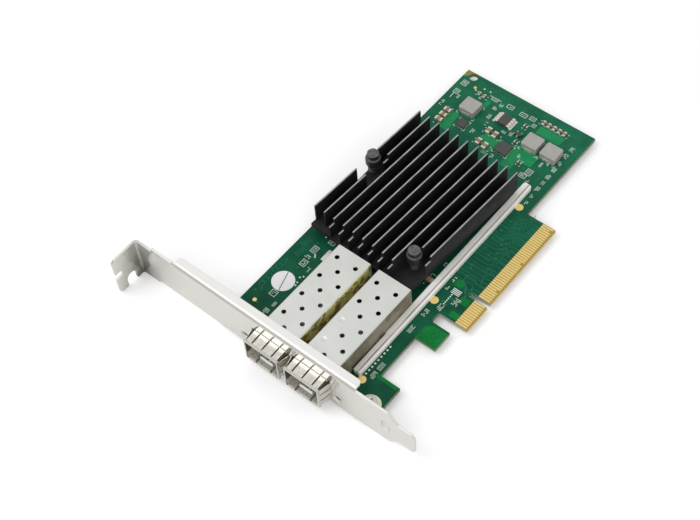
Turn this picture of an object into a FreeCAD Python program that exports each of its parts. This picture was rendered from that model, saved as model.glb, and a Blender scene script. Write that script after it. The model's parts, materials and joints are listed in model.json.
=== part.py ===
import FreeCAD, Part
import math
import os
from FreeCAD import Vector

# Dual-port SFP+ network interface card with a full-height bracket, in millimetres.
# Frame: the origin is the centre of the connector key notch, at the tips of the edge
# contacts, on the middle plane of the board. +X runs along the board away from the
# bracket, +Y from the edge connector up to the screw tab, +Z out of the component side.

# ---------------------------------------------------------------- driving sizes
# Board
board_thickness = 1.57
board_height = 68.9           # contact tips to the top edge
board_reach = 81.6            # key notch to the far edge
board_gap = 0.5               # board to the bracket
lower_edge_y = 12.0           # lower edge, clear of the connector
lug_bottom_y = 3.95           # bottom of the lug at the bracket and of the guide tab
lug_end_x = 42.9              # key notch to the far side of the lug
guide_tab_x = 16.35           # key notch to the near side of the guide tab
guide_tab_width = 8.05
guide_slot_end_y = 11.7       # inner end of the slot between guide tab and tongue
guide_slot_round = 1.2
key_notch_width = 1.9
key_notch_depth = 8.25
tooling_hole_radius = 1.7
tooling_hole_inset_x = 2.0
tooling_hole_inset_y = 3.9

# Edge contacts
contact_pitch = 1.0
contact_width = 0.7
contacts_before_key = 11
contacts_after_key = 38
first_contact_x = 1.5         # key notch centre to the first contact on each side
contact_margin = 0.65         # last contact centre to the side of the tongue
contact_start_y = 0.6
contact_end_y = 5.1
short_contact_step = 1.0      # how much later the presence contacts start
short_contacts = (17, 31, 48)
plating = 0.05
bevel_length = 0.6
bevel_depth = 0.35

# Bracket
sheet = 0.86
notch_to_bracket = 59.05      # key notch to the outer face of the bracket
bracket_length = 120.02
tab_seat_y = 104.6            # underside of the screw tab
tab_reach = 11.43
tab_low_z = -2.4
tab_high_z = 15.5
tab_zone_length = 7.5         # narrow part of the plate below the tab
plate_low_z = -1.3
plate_width = 18.4
bend_inner = 0.5
tab_bend_inner = 0.9
flange_reach = 3.95
flange_start_y = 8.8
flange_length = 77.9
flange_corner = 1.4
flange_relief = 1.0
foot_top_z = 16.2
foot_taper_y = -4.1
foot_taper_length = 3.8
tongue_low_z = 2.3
tongue_width = 10.19
tongue_corner = 1.3
vent_slot_rise = 11.56         # from the lower end of the bracket to the slot
vent_slot_z = 7.4
vent_slot_width = 3.4
vent_slot_height = 5.4
screw_notch_x = 5.3           # bracket face to the middle of the screw notch
screw_notch_width = 4.42
screw_notch_depth = 5.3
driver_slot_z = 6.7
driver_slot_width = 2.8
driver_slot_depth = 3.0
tab_corner = 1.2

# Ears behind the plate that hold the board
ear_radius = 3.2
ear_reach = 5.75              # bracket face to the middle of the ear
ear_y = (7.9, 63.5)
ear_hole_radius = 1.35
ear_pad_radius = 3.65
screw_radius = 1.2
screw_head_radius = 2.3
screw_head_height = 1.3
screw_recess_width = 0.7
screw_recess_length = 2.7
screw_recess_depth = 0.8
nut_radius = 2.3
nut_height = 1.1

# Ports
port_y = (44.4, 27.3)
cage_width = 14.0
cage_height = 9.8
cage_length = 48.5
cage_front_x = 64.2           # key notch to the front of the cages
cage_sheet = 0.3
cage_lift = 0.05
cage_corner = 0.6
vent_radius = 0.85
vent_pitch_x = 4.57
vent_spread_y = 4.0
vent_columns = 8
vent_rear_gap = 4.6
dimple_radius = 1.1
dimple_depth = 0.12
dimple_port = 1               # the port whose cover has two dimples in place of holes
dimple_columns = (4, 6)
cage_pin_x = (3.6, 20.0, 37.0)   # rear of the cage to each pair of pins
cage_pin_width = 0.7
cage_pin_below = 0.5
cage_pin_hole_radius = 0.52
base_play = 0.06
base_wall_height = 3.2
base_length = 36.0
latch_slot_width = 0.8
latch_slot_length = 9.0
latch_width = 5.6
latch_window = 2.6
opening_play = 0.9            # cage to the edge of the bracket opening
opening_corner = 0.5

# Spring collars round the cage fronts
collar_sheet = 0.2
collar_play = 0.02
collar_band = 0.9
collar_flare = 0.3           # of the fingers above and below
collar_side_flare = 0.95
collar_corner_gap = 0.5
collar_gap = 0.1              # collar to the bracket
slit_width = 0.55
slit_spacing = 4.15
side_slit_spacing = 3.3
corner_slit = 0.5

# Connectors inside the cages
housing_front_x = 27.0        # key notch to the mouth of each connector
housing_length = 7.6
housing_width = 11.4
housing_height = 6.4
housing_lift = 0.02
mouth_width = 9.4
mouth_height = 1.3
mouth_depth = 5.0
mouth_z = 3.4
mouth_chamfer = 0.4
pin_count = 10
pin_pitch = 0.8
pin_width = 0.34
pin_sheet = 0.2
pin_channel_play = 0.05
pin_foot = 1.0
upper_row_drop = 0.9
lower_row_drop = 0.3
peg_radius = 0.72
peg_play = 0.06
peg_spacing = 7.2
peg_depth = 1.2

# Link lights
light_y = (56.4, 16.7)
light_width = 2.6
light_height = 3.8
light_depth = 3.6
light_lens_radius = 1.2
light_setback = 0.5
light_lens_gap = 0.5
light_hole_play = 0.5

# Controller under the heat sink
chip_x = 8.0
chip_y = 46.6
chip_side = 25.0
chip_substrate = 1.3
lid_side = 19.5
lid_height = 1.3
lid_chamfer = 0.5
pad_side = 22.0
pad_thickness = 0.4

# Heat sink: its fins run along its own u axis, its rows step down along v
sink_corner_x = -9.73
sink_corner_y = 67.25
sink_turn = -2.75
sink_length = 55.7
sink_step = 2.4               # how far base and fin feet stand out at the near end
sink_base = 1.6
fin_count = 11
fin_pitch = 4.42
fin_thickness = 0.55
fin_height = 7.9
fin_foot_drop = 2.4
plain_fins = 2                # fins at the top edge without a foot
pocket_near = 8.2
pocket_far = 3.35
pocket_fins = 2
last_fin_start = 9.1
pin_fin_play = 0.25
last_fin_foot = 2.6

# Push pins
push_pins = ((19.8, 65.0), (-4.4, 27.9))
pin_top_z = 14.3
pin_head_radius = 2.17
pin_head_height = 2.3
collar_radius = 2.85
collar_height = 3.0
collar_round = 0.7
collar_overlap = 0.5          # how far the collar reaches up round the head
shank_radius = 1.4
shank_play = 0.15
sink_hole_play = 0.3
barb_radius = 1.85
barb_tip_radius = 1.1
barb_length = 1.5
barb_slot = 0.7
spring_wire = 0.22

# Stiffener bar
bar_near_x = -47.4
bar_length = 96.4
bar_low_y = 16.95
bar_width = 3.3
bar_height = 2.0
bar_round = 0.3
bar_end_round = 1.0
bar_groove_y = 1.1             # from the low side of the bar to the middle of its groove
bar_groove_width = 0.5
bar_groove_depth = 0.25
bar_step_x = 17.4
bar_step = 0.45
bar_pad_x = (-47.8, -9.1, 39.8)
bar_pad_y = 15.9
bar_pad_radius = 1.5
bar_peg_radius = 0.8
bar_peg_play = 0.1
bar_peg_below = 0.6

# Small round pads: place and radius
small_pads = ((-45.8, 64.4, 0.75), (75.7, 61.5, 0.6), (-55.0, 33.0, 0.6))

# Places near the far end are measured in from the far edge and down from the top edge.

# Power inductors
inductor_insets = ((15.9, 12.6), (16.4, 40.8), (16.4, 48.8))
inductor_x = 6.3
inductor_y = 6.5
inductor_height = 2.9
inductor_chamfer = 0.35
inductor_top_chamfer = 0.12
clip_width = 3.4
clip_sheet = 0.18
clip_rise = 1.3
clip_foot = 0.9

# Packages: centre, size and height
memory_inset = (12.7, 26.0)
memory_x = 5.0
memory_y = 3.8
memory_height = 1.6
memory_span = 8.1
memory_leads = 4
lead_pitch = 1.27
memory_lead_width = 1.12
lead_sheet = 0.2
lead_foot_share = 0.55        # part of each lead's reach that stands on the board
package_lift = 0.1
regulator_insets = ((23.1, 14.1, 3.6), (23.8, 33.1, 5.1))
regulator_height = 0.9
regulator_pads = 6
regulator_pad_width = 0.32
regulator_pad_reach = 0.35
regulator_pad_height = 0.12
transistor_inset = (15.2, 33.7)
transistor_x = 1.3
transistor_y = 2.9
transistor_height = 1.0
transistor_span = 2.5
transistor_lead_spread = 0.95
transistor_lead_width = 0.42
crystal_from_chip = (28.0, -13.6)
crystal_x = 5.0
crystal_y = 3.2
crystal_height = 0.9
crystal_base = 0.35
crystal_rim = 0.25

# Ceramic capacitors and resistors: two place values, size along x, size along y, height.
# The end caps lie across the longer side.
far_capacitors = (
    (21.3, 6.1, 1.7, 2.8, 1.25),
    (24.0, 6.1, 1.7, 2.8, 1.25),
    (26.7, 6.1, 1.7, 2.8, 1.25),
    (20.3, 24.1, 2.8, 1.7, 1.25),
    (20.7, 27.2, 2.8, 1.7, 1.25),
    (26.6, 24.1, 2.8, 1.7, 1.25),
    (27.0, 27.2, 2.8, 1.7, 1.25),
    (7.7, 10.7, 1.6, 0.9, 0.8),
    (7.7, 13.0, 1.6, 0.9, 0.8),
)
near_capacitors = (
    (-3.9, 21.9, 1.7, 2.8, 1.25),
    (-6.8, 24.6, 0.9, 1.7, 0.8),
)
small_row_inset_x = 5.2
small_row_inset_y = 47.0
small_row_count = 5
small_row_pitch = 2.25
small_row_size = (2.1, 1.15, 0.75)
far_resistors = (
    (25.6, 41.5, 0.9, 1.7, 0.45),
    (10.4, 33.5, 0.9, 1.7, 0.45),
    (18.6, 35.0, 0.9, 1.7, 0.45),
)
back_capacitor_size = (0.8, 1.5, 0.7)
back_capacitor_pitch = 3.4
back_capacitor_columns = 5
back_capacitor_rows = 4
end_cap_share = 0.24

# Round inspection label
label_x = -34.2
label_inset_y = 7.3
label_radius = 4.15
label_thickness = 0.1

OVER = 1.0                    # how far cutting tools run past what they cut

# ---------------------------------------------------------------- worked-out places
top = board_thickness / 2
back = -board_thickness / 2
bracket_face = -notch_to_bracket
bracket_inner = bracket_face + sheet
board_near = bracket_inner + board_gap
tongue_near = -(first_contact_x + (contacts_before_key - 1) * contact_pitch + contact_margin)
tongue_far = first_contact_x + (contacts_after_key - 1) * contact_pitch + contact_margin
guide_near = -guide_tab_x - guide_tab_width
plate_high_z = plate_low_z + plate_width
bracket_end_y = tab_seat_y + sheet - bracket_length
tab_zone_y = tab_seat_y - tab_zone_length
vent_slot_y = bracket_end_y + vent_slot_rise
flange_end_y = flange_start_y + flange_length
shoulder_y = flange_end_y + flange_relief
ear_x = bracket_face + ear_reach
ear_low_z = top + plating
cage_front = -cage_front_x
cage_rear = cage_front + cage_length
cage_low_z = top + cage_lift
cage_high_z = cage_low_z + cage_height
chip_top = top + chip_substrate + lid_height
sink_low_z = chip_top + pad_thickness
base_top_z = sink_low_z + sink_base
fin_top_z = base_top_z + fin_height
foot_top = fin_top_z - fin_foot_drop
sink_width = (fin_count - 1) * fin_pitch + fin_thickness
light_z = top + light_height / 2
bar_low_z = top + plating
label_y = board_height - label_inset_y


def from_far_corner(inset):
    """Place of a part from its distances to the far edge and to the top edge."""
    return board_reach - inset[0], board_height - inset[1]


inductor_places = [from_far_corner(inset) for inset in inductor_insets]
memory_place = from_far_corner(memory_inset)
regulators = [from_far_corner(inset) + (inset[2],) for inset in regulator_insets]
transistor_place = from_far_corner(transistor_inset)
crystal_place = (chip_x + crystal_from_chip[0], chip_y + crystal_from_chip[1])
capacitors = [from_far_corner(part) + part[2:] for part in far_capacitors] + list(near_capacitors)
resistors = [from_far_corner(part) + part[2:] for part in far_resistors]
small_row_x, small_row_y = from_far_corner((small_row_inset_x, small_row_inset_y))


# ---------------------------------------------------------------- helpers
def box(x0, x1, y0, y1, z0, z1):
    """A box between two corners."""
    return Part.makeBox(x1 - x0, y1 - y0, z1 - z0, Vector(x0, y0, z0))


def rod(x, y, z0, z1, radius):
    """An upright round rod."""
    return Part.makeCylinder(radius, z1 - z0, Vector(x, y, z0))


def rod_x(x0, x1, y, z, radius):
    """A round rod along X."""
    return Part.makeCylinder(radius, x1 - x0, Vector(x0, y, z), Vector(1, 0, 0))


def prism(points, direction):
    """A closed outline of 3-D points pushed along a direction."""
    corners = [Vector(*p) for p in points]
    outline = Part.makePolygon(corners + [corners[0]])
    return Part.Face(outline).extrude(Vector(*direction))


def fused(shapes):
    """One shape from several that touch or overlap."""
    first = shapes[0]
    if len(shapes) > 1:
        first = first.fuse(shapes[1:])
    return first.removeSplitter()


def cut(shape, tools):
    """The shape less every tool."""
    return shape.cut(tools) if tools else shape


def group(shapes):
    """Separate solids kept side by side in one node."""
    return Part.makeCompound(shapes)


def slot_block(x0, x1, y0, y1, z0, z1, corner):
    """A block along X whose four long edges are rounded."""
    block = box(x0, x1, y0, y1, z0, z1)
    long_edges = [e for e in block.Edges if abs(e.tangentAt(e.FirstParameter).x) > 0.9]
    return block.makeFillet(corner, long_edges)


def upright_block(x0, x1, y0, y1, z0, z1, corner):
    """A block whose four upright edges are rounded."""
    block = box(x0, x1, y0, y1, z0, z1)
    upright = [e for e in block.Edges if abs(e.tangentAt(e.FirstParameter).z) > 0.9]
    return block.makeFillet(corner, upright)


def folded_strip(along, across, inner):
    """Outline of a sheet folded through a right angle, in its own plane.

    The outer corner of the fold is at (0, 0). One leg runs along +a for `along`, the
    other along +b for `across`; the sheet lies on the positive side of both axes.
    """
    outer = inner + sheet
    middle = math.sqrt(0.5)
    centre = outer
    return [
        ("line", (along, 0), (outer, 0)),
        ("arc", (outer, 0), (centre - outer * middle, centre - outer * middle), (0, outer)),
        ("line", (0, outer), (0, across)),
        ("line", (0, across), (sheet, across)),
        ("line", (sheet, across), (sheet, outer)),
        ("arc", (sheet, outer), (centre - inner * middle, centre - inner * middle), (outer, sheet)),
        ("line", (outer, sheet), (along, sheet)),
        ("line", (along, sheet), (along, 0)),
    ]


def folded_sheet(outline, place, direction):
    """Push a folded outline along a direction; place() turns (a, b) into a point."""
    edges = []
    for piece in outline:
        points = [Vector(*place(*p)) for p in piece[1:]]
        if piece[0] == "line":
            edges.append(Part.LineSegment(points[0], points[1]).toShape())
        else:
            edges.append(Part.Arc(points[0], points[1], points[2]).toShape())
    return Part.Face(Part.Wire(edges)).extrude(Vector(*direction))


def end_capped(x, y, size_x, size_y, height, low_z):
    """Body and two end caps of a ceramic part; the caps lie across the longer side."""
    half_x = size_x / 2
    half_y = size_y / 2
    high_z = low_z + height
    if size_x > size_y:
        cap = size_x * end_cap_share
        body = box(x - half_x + cap, x + half_x - cap, y - half_y, y + half_y, low_z, high_z)
        caps = [
            box(x - half_x, x - half_x + cap, y - half_y, y + half_y, low_z, high_z),
            box(x + half_x - cap, x + half_x, y - half_y, y + half_y, low_z, high_z),
        ]
    else:
        cap = size_y * end_cap_share
        body = box(x - half_x, x + half_x, y - half_y + cap, y + half_y - cap, low_z, high_z)
        caps = [
            box(x - half_x, x + half_x, y - half_y, y - half_y + cap, low_z, high_z),
            box(x - half_x, x + half_x, y + half_y - cap, y + half_y, low_z, high_z),
        ]
    return body, caps


# ---------------------------------------------------------------- board
def bevel(side):
    """Wedge that bevels the contact tips on one face of the board."""
    face = side * top
    return prism(
        [
            (tongue_near, -OVER, face - side * bevel_depth * (1 + OVER / bevel_length)),
            (tongue_near, bevel_length, face),
            (tongue_near, bevel_length, face + side * OVER),
            (tongue_near, -OVER, face + side * OVER),
        ],
        (tongue_far - tongue_near, 0, 0),
    )


def circuit_board():
    """The laminate with its lug, guide tab, connector tongue and every hole."""
    slot_round_y = guide_slot_end_y - guide_slot_round
    slot_far = tongue_near - guide_slot_round
    slot_near = -guide_tab_x + guide_slot_round
    outline = [
        (board_near, lug_bottom_y),
        (-lug_end_x, lug_bottom_y),
        (-lug_end_x, lower_edge_y),
        (guide_near, lower_edge_y),
        (guide_near, lug_bottom_y),
        (-guide_tab_x, lug_bottom_y),
        (-guide_tab_x, slot_round_y),
        (tongue_near, slot_round_y),
        (tongue_near, 0),
        (tongue_far, 0),
        (tongue_far, lower_edge_y),
        (board_reach, lower_edge_y),
        (board_reach, board_height),
        (board_near, board_height),
    ]
    plate = prism([(x, y, back) for x, y in outline], (0, 0, board_thickness))
    low = back - OVER
    high = top + OVER
    key_round = key_notch_width / 2
    tools = [
        bevel(1),
        bevel(-1),
        box(-key_round, key_round, -OVER, key_notch_depth - key_round, low, high),
        rod(0, key_notch_depth - key_round, low, high, key_round),
        box(slot_near, slot_far, slot_round_y - OVER, guide_slot_end_y, low, high),
        rod(slot_near, slot_round_y, low, high, guide_slot_round),
        rod(slot_far, slot_round_y, low, high, guide_slot_round),
        rod(board_reach - tooling_hole_inset_x, board_height - tooling_hole_inset_y, low, high,
            tooling_hole_radius),
    ]
    tools += [rod(ear_x, y, low, high, ear_hole_radius) for y in ear_y]
    tools += [rod(x, y, low, high, shank_radius + shank_play) for x, y in push_pins]
    tools += [rod(x, y, low, high, bar_peg_radius + bar_peg_play) for x, y in bar_pegs()]
    for middle in port_y:
        tools += [rod(x, y, low, high, cage_pin_hole_radius) for x, y in cage_pin_places(middle)]
        tools += [rod(x, y, low, high, peg_radius + peg_play) for x, y in housing_pegs(middle)]
    return cut(plate, tools)


def edge_contacts(side):
    """Gold contact strips on one face; the presence contacts start later."""
    low = top if side > 0 else back - plating
    late = short_contacts if side > 0 else (1,)
    strips = []
    for number in range(1, contacts_before_key + contacts_after_key + 1):
        if number <= contacts_before_key:
            x = -first_contact_x - (contacts_before_key - number) * contact_pitch
        else:
            x = first_contact_x + (number - contacts_before_key - 1) * contact_pitch
        start = contact_start_y + (short_contact_step if number in late else 0)
        strips.append(box(x - contact_width / 2, x + contact_width / 2, start, contact_end_y,
                          low, low + plating))
    return group(strips)


def plated_pads():
    """Gold lands: under the ears, beside the stiffener bar and the small round ones."""
    pads = []
    for y in ear_y:
        land = rod(ear_x, y, top, top + plating, ear_pad_radius)
        inside = box(board_near, ear_x + ear_pad_radius, y - OVER * ear_pad_radius,
                     y + OVER * ear_pad_radius, top, top + plating)
        hole = rod(ear_x, y, top - OVER, top + OVER, ear_hole_radius)
        pads.append(land.common(inside).cut(hole))
    holes = [rod(x, y, top - OVER, top + OVER, bar_peg_radius + bar_peg_play) for x, y in bar_pegs()]
    for x in bar_pad_x:
        pads.append(cut(rod(x, bar_pad_y, top, top + plating, bar_pad_radius), holes))
    for x, y, radius in small_pads:
        pads.append(rod(x, y, top, top + plating, radius))
    return group(pads)


# ---------------------------------------------------------------- bracket
def plate_outline():
    """Corners of the flat plate, in y and z, from the tongue to the narrow tab zone."""
    tongue_high = tongue_low_z + tongue_width
    taper_end = foot_taper_y - foot_taper_length
    return [
        (bracket_end_y + tongue_corner, tongue_low_z),
        (taper_end, tongue_low_z),
        (foot_taper_y, plate_low_z),
        (tab_zone_y, plate_low_z),
        (tab_zone_y, tab_low_z),
        (tab_seat_y - tab_bend_inner, tab_low_z),
        (tab_seat_y - tab_bend_inner, tab_high_z),
        (tab_zone_y, tab_high_z),
        (tab_zone_y, plate_high_z),
        (shoulder_y, plate_high_z),
        (shoulder_y, plate_high_z - sheet - bend_inner),
        (flange_end_y, plate_high_z - sheet - bend_inner),
        (flange_start_y, plate_high_z - sheet - bend_inner),
        (flange_start_y, foot_top_z),
        (foot_taper_y, foot_top_z),
        (taper_end, tongue_high),
        (bracket_end_y + tongue_corner, tongue_high),
        (bracket_end_y, tongue_high - tongue_corner),
        (bracket_end_y, tongue_low_z + tongue_corner),
    ]


def port_opening(middle):
    """Tool for the bracket opening round one cage."""
    half = cage_width / 2 + opening_play
    return slot_block(bracket_face - OVER, bracket_inner + OVER, middle - half, middle + half,
                      cage_low_z - opening_play, cage_high_z + opening_play, opening_corner)


def screw_tab():
    """The folded screw tab with its screw notch and driver slot."""
    leg = tab_zone_length / 2

    def place(a, b):
        return (bracket_inner - b, tab_seat_y + sheet - a, tab_low_z)

    outline = folded_strip(leg, tab_reach + sheet, tab_bend_inner)
    tab = folded_sheet(outline, place, (0, 0, tab_high_z - tab_low_z))
    end_x = bracket_face - tab_reach
    low = tab_seat_y - OVER
    high = tab_seat_y + sheet + OVER
    notch_x = bracket_face - screw_notch_x
    notch_half = screw_notch_width / 2
    notch_round_z = tab_low_z + screw_notch_depth - notch_half
    tools = [
        box(notch_x - notch_half, notch_x + notch_half, low, high, tab_low_z - OVER, notch_round_z),
        Part.makeCylinder(notch_half, high - low, Vector(notch_x, low, notch_round_z), Vector(0, 1, 0)),
        box(end_x - OVER, end_x + driver_slot_depth, low, high,
            driver_slot_z - driver_slot_width / 2, driver_slot_z + driver_slot_width / 2),
    ]
    for z, way in ((tab_low_z, 1), (tab_high_z, -1)):
        tools.append(prism([(end_x, low, z), (end_x + tab_corner, low, z), (end_x, low, z + way * tab_corner)],
                           (0, high - low, 0)))
    return cut(tab, tools)


def top_flange():
    """The stiffening fold along the top of the plate, with rounded corners."""
    leg = sheet + 2 * bend_inner

    def place(a, b):
        return (bracket_face + a, flange_start_y, plate_high_z - b)

    outline = folded_strip(flange_reach, leg, bend_inner)
    flange = folded_sheet(outline, place, (0, flange_length, 0))
    room = upright_block(bracket_face - flange_reach, bracket_face + flange_reach, flange_start_y,
                         flange_end_y, plate_high_z - leg - OVER, plate_high_z + OVER, flange_corner)
    return flange.common(room)


def board_ear(y):
    """An ear that runs from the back of the plate out over the board."""
    rise = sheet + 2 * bend_inner

    def place(a, b):
        return (bracket_face + a, y - ear_radius, ear_low_z + b)

    outline = folded_strip(ear_reach, rise, bend_inner)
    strip = folded_sheet(outline, place, (0, 2 * ear_radius, 0))
    round_end = rod(ear_x, y, ear_low_z, ear_low_z + sheet, ear_radius)
    hole = rod(ear_x, y, ear_low_z - OVER, ear_low_z + sheet + OVER, ear_hole_radius)
    return strip.fuse(round_end).cut(hole)


def mounting_bracket():
    """The whole folded bracket as one sheet."""
    plate = prism([(bracket_face, y, z) for y, z in plate_outline()], (sheet, 0, 0))
    tools = [port_opening(middle) for middle in port_y]
    for y in light_y:
        tools.append(rod_x(bracket_face - OVER, bracket_inner + OVER, y, light_z,
                           light_lens_radius + light_hole_play))
    half_y = vent_slot_width / 2
    reach = vent_slot_height / 2 - half_y
    tools.append(box(bracket_face - OVER, bracket_inner + OVER, vent_slot_y - half_y, vent_slot_y + half_y,
                     vent_slot_z - reach, vent_slot_z + reach))
    for z in (vent_slot_z - reach, vent_slot_z + reach):
        tools.append(rod_x(bracket_face - OVER, bracket_inner + OVER, vent_slot_y, z, half_y))
    plate = cut(plate, tools)
    return fused([plate, screw_tab(), top_flange()] + [board_ear(y) for y in ear_y])


def bracket_screws():
    """Cross-recessed pan-head screws through the ears."""
    seat = ear_low_z + sheet
    end = back - nut_height
    screws = []
    for y in ear_y:
        head = rod(ear_x, y, seat, seat + screw_head_height, screw_head_radius)
        rim = [e for e in head.Edges if e.BoundBox.ZMin > seat + screw_head_height / 2
               and e.BoundBox.XLength > screw_head_radius]
        head = head.makeFillet(screw_head_height * 0.45, rim[:1])
        floor = seat + screw_head_height - screw_recess_depth
        half_long = screw_recess_length / 2
        half_wide = screw_recess_width / 2
        high = seat + screw_head_height + OVER
        recess = [
            box(ear_x - half_long, ear_x + half_long, y - half_wide, y + half_wide, floor, high),
            box(ear_x - half_wide, ear_x + half_wide, y - half_long, y + half_long, floor, high),
        ]
        stem = rod(ear_x, y, end, seat, screw_radius)
        screws.append(cut(head, recess).fuse(stem))
    return group(screws)


def bracket_nuts():
    """Thin hexagon nuts under the board."""
    nuts = []
    for y in ear_y:
        corners = []
        for step in range(6):
            angle = math.radians(60 * step)
            corners.append((ear_x + nut_radius * math.cos(angle), y + nut_radius * math.sin(angle),
                            back - nut_height))
        nut = prism(corners, (0, 0, nut_height))
        nuts.append(nut.cut(rod(ear_x, y, back - nut_height - OVER, back + OVER, screw_radius)))
    return group(nuts)


# ---------------------------------------------------------------- ports
def cage_pin_places(middle):
    """Where the pins of one cage pass through the board."""
    side = cage_width / 2 - cage_sheet / 2
    return [(cage_rear - back_off, middle + way * side) for back_off in cage_pin_x for way in (-1, 1)]


def vent_places(middle):
    """Centres of the vent holes, in two alternating patterns."""
    places = []
    for column in range(vent_columns):
        x = cage_rear - vent_rear_gap - column * vent_pitch_x
        offsets = (vent_spread_y, -vent_spread_y) if column % 2 == 0 else (0,)
        places += [(column, x, middle + offset) for offset in offsets]
    return places


def cage_cover(index):
    """Top, sides and rear wall of one cage, with vents and board pins."""
    middle = port_y[index]
    half = cage_width / 2
    shell = slot_block(cage_front, cage_rear, middle - half, middle + half,
                       cage_low_z - 2 * cage_corner, cage_high_z, cage_corner)
    low_part = box(cage_front - OVER, cage_rear + OVER, middle - half - OVER, middle + half + OVER,
                   cage_low_z - 3 * cage_corner, cage_low_z)
    hollow = slot_block(cage_front - OVER, cage_rear - cage_sheet, middle - half + cage_sheet,
                        middle + half - cage_sheet, cage_low_z - 2 * cage_corner - OVER,
                        cage_high_z - cage_sheet, cage_corner - cage_sheet)
    tools = [low_part, hollow]
    for column, x, y in vent_places(middle):
        dimpled = index == dimple_port and column in dimple_columns and y > middle
        if dimpled:
            ball = (dimple_radius ** 2 + dimple_depth ** 2) / (2 * dimple_depth)
            tools.append(Part.makeSphere(ball, Vector(x, y, cage_high_z - dimple_depth + ball)))
        else:
            tools.append(rod(x, y, cage_high_z - cage_sheet - OVER, cage_high_z + OVER, vent_radius))
    window_z = cage_low_z + base_wall_height / 2
    for x in (cage_front + cage_length * 0.3, cage_front + cage_length * 0.6):
        tools.append(box(x, x + latch_window, middle - half - OVER, middle + half + OVER,
                         window_z - cage_sheet, window_z + cage_sheet))
    cover = cut(shell, tools)
    pins = []
    for x, y in cage_pin_places(middle):
        pins.append(box(x - cage_pin_width / 2, x + cage_pin_width / 2, y - cage_sheet / 2,
                        y + cage_sheet / 2, back - cage_pin_below, cage_low_z + cage_sheet))
    return fused([cover] + pins)


def cage_base(index):
    """Floor of one cage with low side walls and the latch tongue at the mouth."""
    middle = port_y[index]
    half = cage_width / 2 - cage_sheet - base_play
    front = cage_front + cage_sheet
    rear = front + base_length
    floor_high = cage_low_z + cage_sheet
    parts = [box(front, rear, middle - half, middle + half, cage_low_z, floor_high)]
    for way in (-1, 1):
        wall = middle + way * (half - cage_sheet / 2)
        parts.append(box(front, rear, wall - cage_sheet / 2, wall + cage_sheet / 2, cage_low_z,
                         cage_low_z + base_wall_height))
    base = fused(parts)
    slots = []
    for way in (-1, 1):
        y = middle + way * (latch_width / 2 + latch_slot_width / 2)
        slots.append(box(front - OVER, front + latch_slot_length, y - latch_slot_width / 2,
                         y + latch_slot_width / 2, cage_low_z - OVER, floor_high + OVER))
    window = latch_window / 2
    x = front + latch_slot_length * 0.45
    slots.append(prism([(x - window, middle - window, cage_low_z - OVER),
                        (x + window, middle, cage_low_z - OVER),
                        (x - window, middle + window, cage_low_z - OVER)],
                       (0, 0, cage_sheet + 2 * OVER)))
    return cut(base, slots)


def collar_ring(x, middle, grow_y, grow_z):
    """Rectangular outline round the cage at one x, larger than the cage by the two amounts."""
    half = cage_width / 2 + grow_y
    corners = [
        Vector(x, middle - half, cage_low_z - grow_z),
        Vector(x, middle + half, cage_low_z - grow_z),
        Vector(x, middle + half, cage_high_z + grow_z),
        Vector(x, middle - half, cage_high_z + grow_z),
    ]
    return Part.makePolygon(corners + [corners[0]])


def spring_collar(index):
    """Sheet collar with sprung fingers that flare back towards the bracket."""
    middle = port_y[index]
    front = cage_front
    bend = front + collar_band
    rear = bracket_face - collar_gap
    near = collar_play
    far_y = collar_play + collar_side_flare
    far_z = collar_play + collar_flare
    more_y = collar_side_flare / (rear - bend) * OVER
    more_z = collar_flare / (rear - bend) * OVER
    outer = Part.makeLoft([collar_ring(bend, middle, near + collar_sheet, near + collar_sheet),
                           collar_ring(rear, middle, far_y + collar_sheet, far_z + collar_sheet)], True, True)
    inner = Part.makeLoft([collar_ring(bend - OVER, middle, near - more_y, near - more_z),
                           collar_ring(rear + OVER, middle, far_y + more_y, far_z + more_z)], True, True)
    half_out = cage_width / 2 + near + collar_sheet
    half_in = cage_width / 2 + near
    band = box(front, bend, middle - half_out, middle + half_out,
               cage_low_z - near - collar_sheet, cage_high_z + near + collar_sheet)
    core = box(front - OVER, bend + OVER, middle - half_in, middle + half_in,
               cage_low_z - near, cage_high_z + near)
    collar = fused([outer.cut(inner), band.cut(core)])
    tools = []
    centre_z = (cage_low_z + cage_high_z) / 2
    reach = cage_width
    for step in (-1, 0, 1):
        y = middle + step * slit_spacing
        tools.append(box(bend, rear + OVER, y - slit_width / 2, y + slit_width / 2,
                         cage_low_z - reach, cage_high_z + reach))
    for way in (-0.5, 0.5):
        z = centre_z + way * side_slit_spacing
        tools.append(box(bend, rear + OVER, middle - reach, middle + reach,
                         z - slit_width / 2, z + slit_width / 2))
    for side in (-1, 1):
        y = middle + side * (cage_width / 2 + reach / 2 - collar_corner_gap)
        for z in (cage_low_z - reach / 2 + collar_corner_gap, cage_high_z + reach / 2 - collar_corner_gap):
            tools.append(box(bend, rear + OVER, y - reach / 2, y + reach / 2, z - reach / 2, z + reach / 2))
    return cut(collar, tools)


def housing_pegs(middle):
    """Locating pegs of a connector housing."""
    x = -housing_front_x + housing_length / 2
    return [(x, middle - peg_spacing / 2), (x, middle + peg_spacing / 2)]


def contact_strip(y, blade_z, rear_x):
    """One contact: a blade in the mouth, a drop behind the housing and a solder foot."""
    front = -housing_front_x + mouth_chamfer
    low = y - pin_width / 2
    return prism(
        [
            (front, low, blade_z),
            (rear_x, low, blade_z),
            (rear_x, low, top),
            (rear_x + pin_foot, low, top),
            (rear_x + pin_foot, low, top + pin_sheet),
            (rear_x + pin_sheet, low, top + pin_sheet),
            (rear_x + pin_sheet, low, blade_z + pin_sheet),
            (front, low, blade_z + pin_sheet),
        ],
        (0, pin_width, 0),
    )


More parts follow.
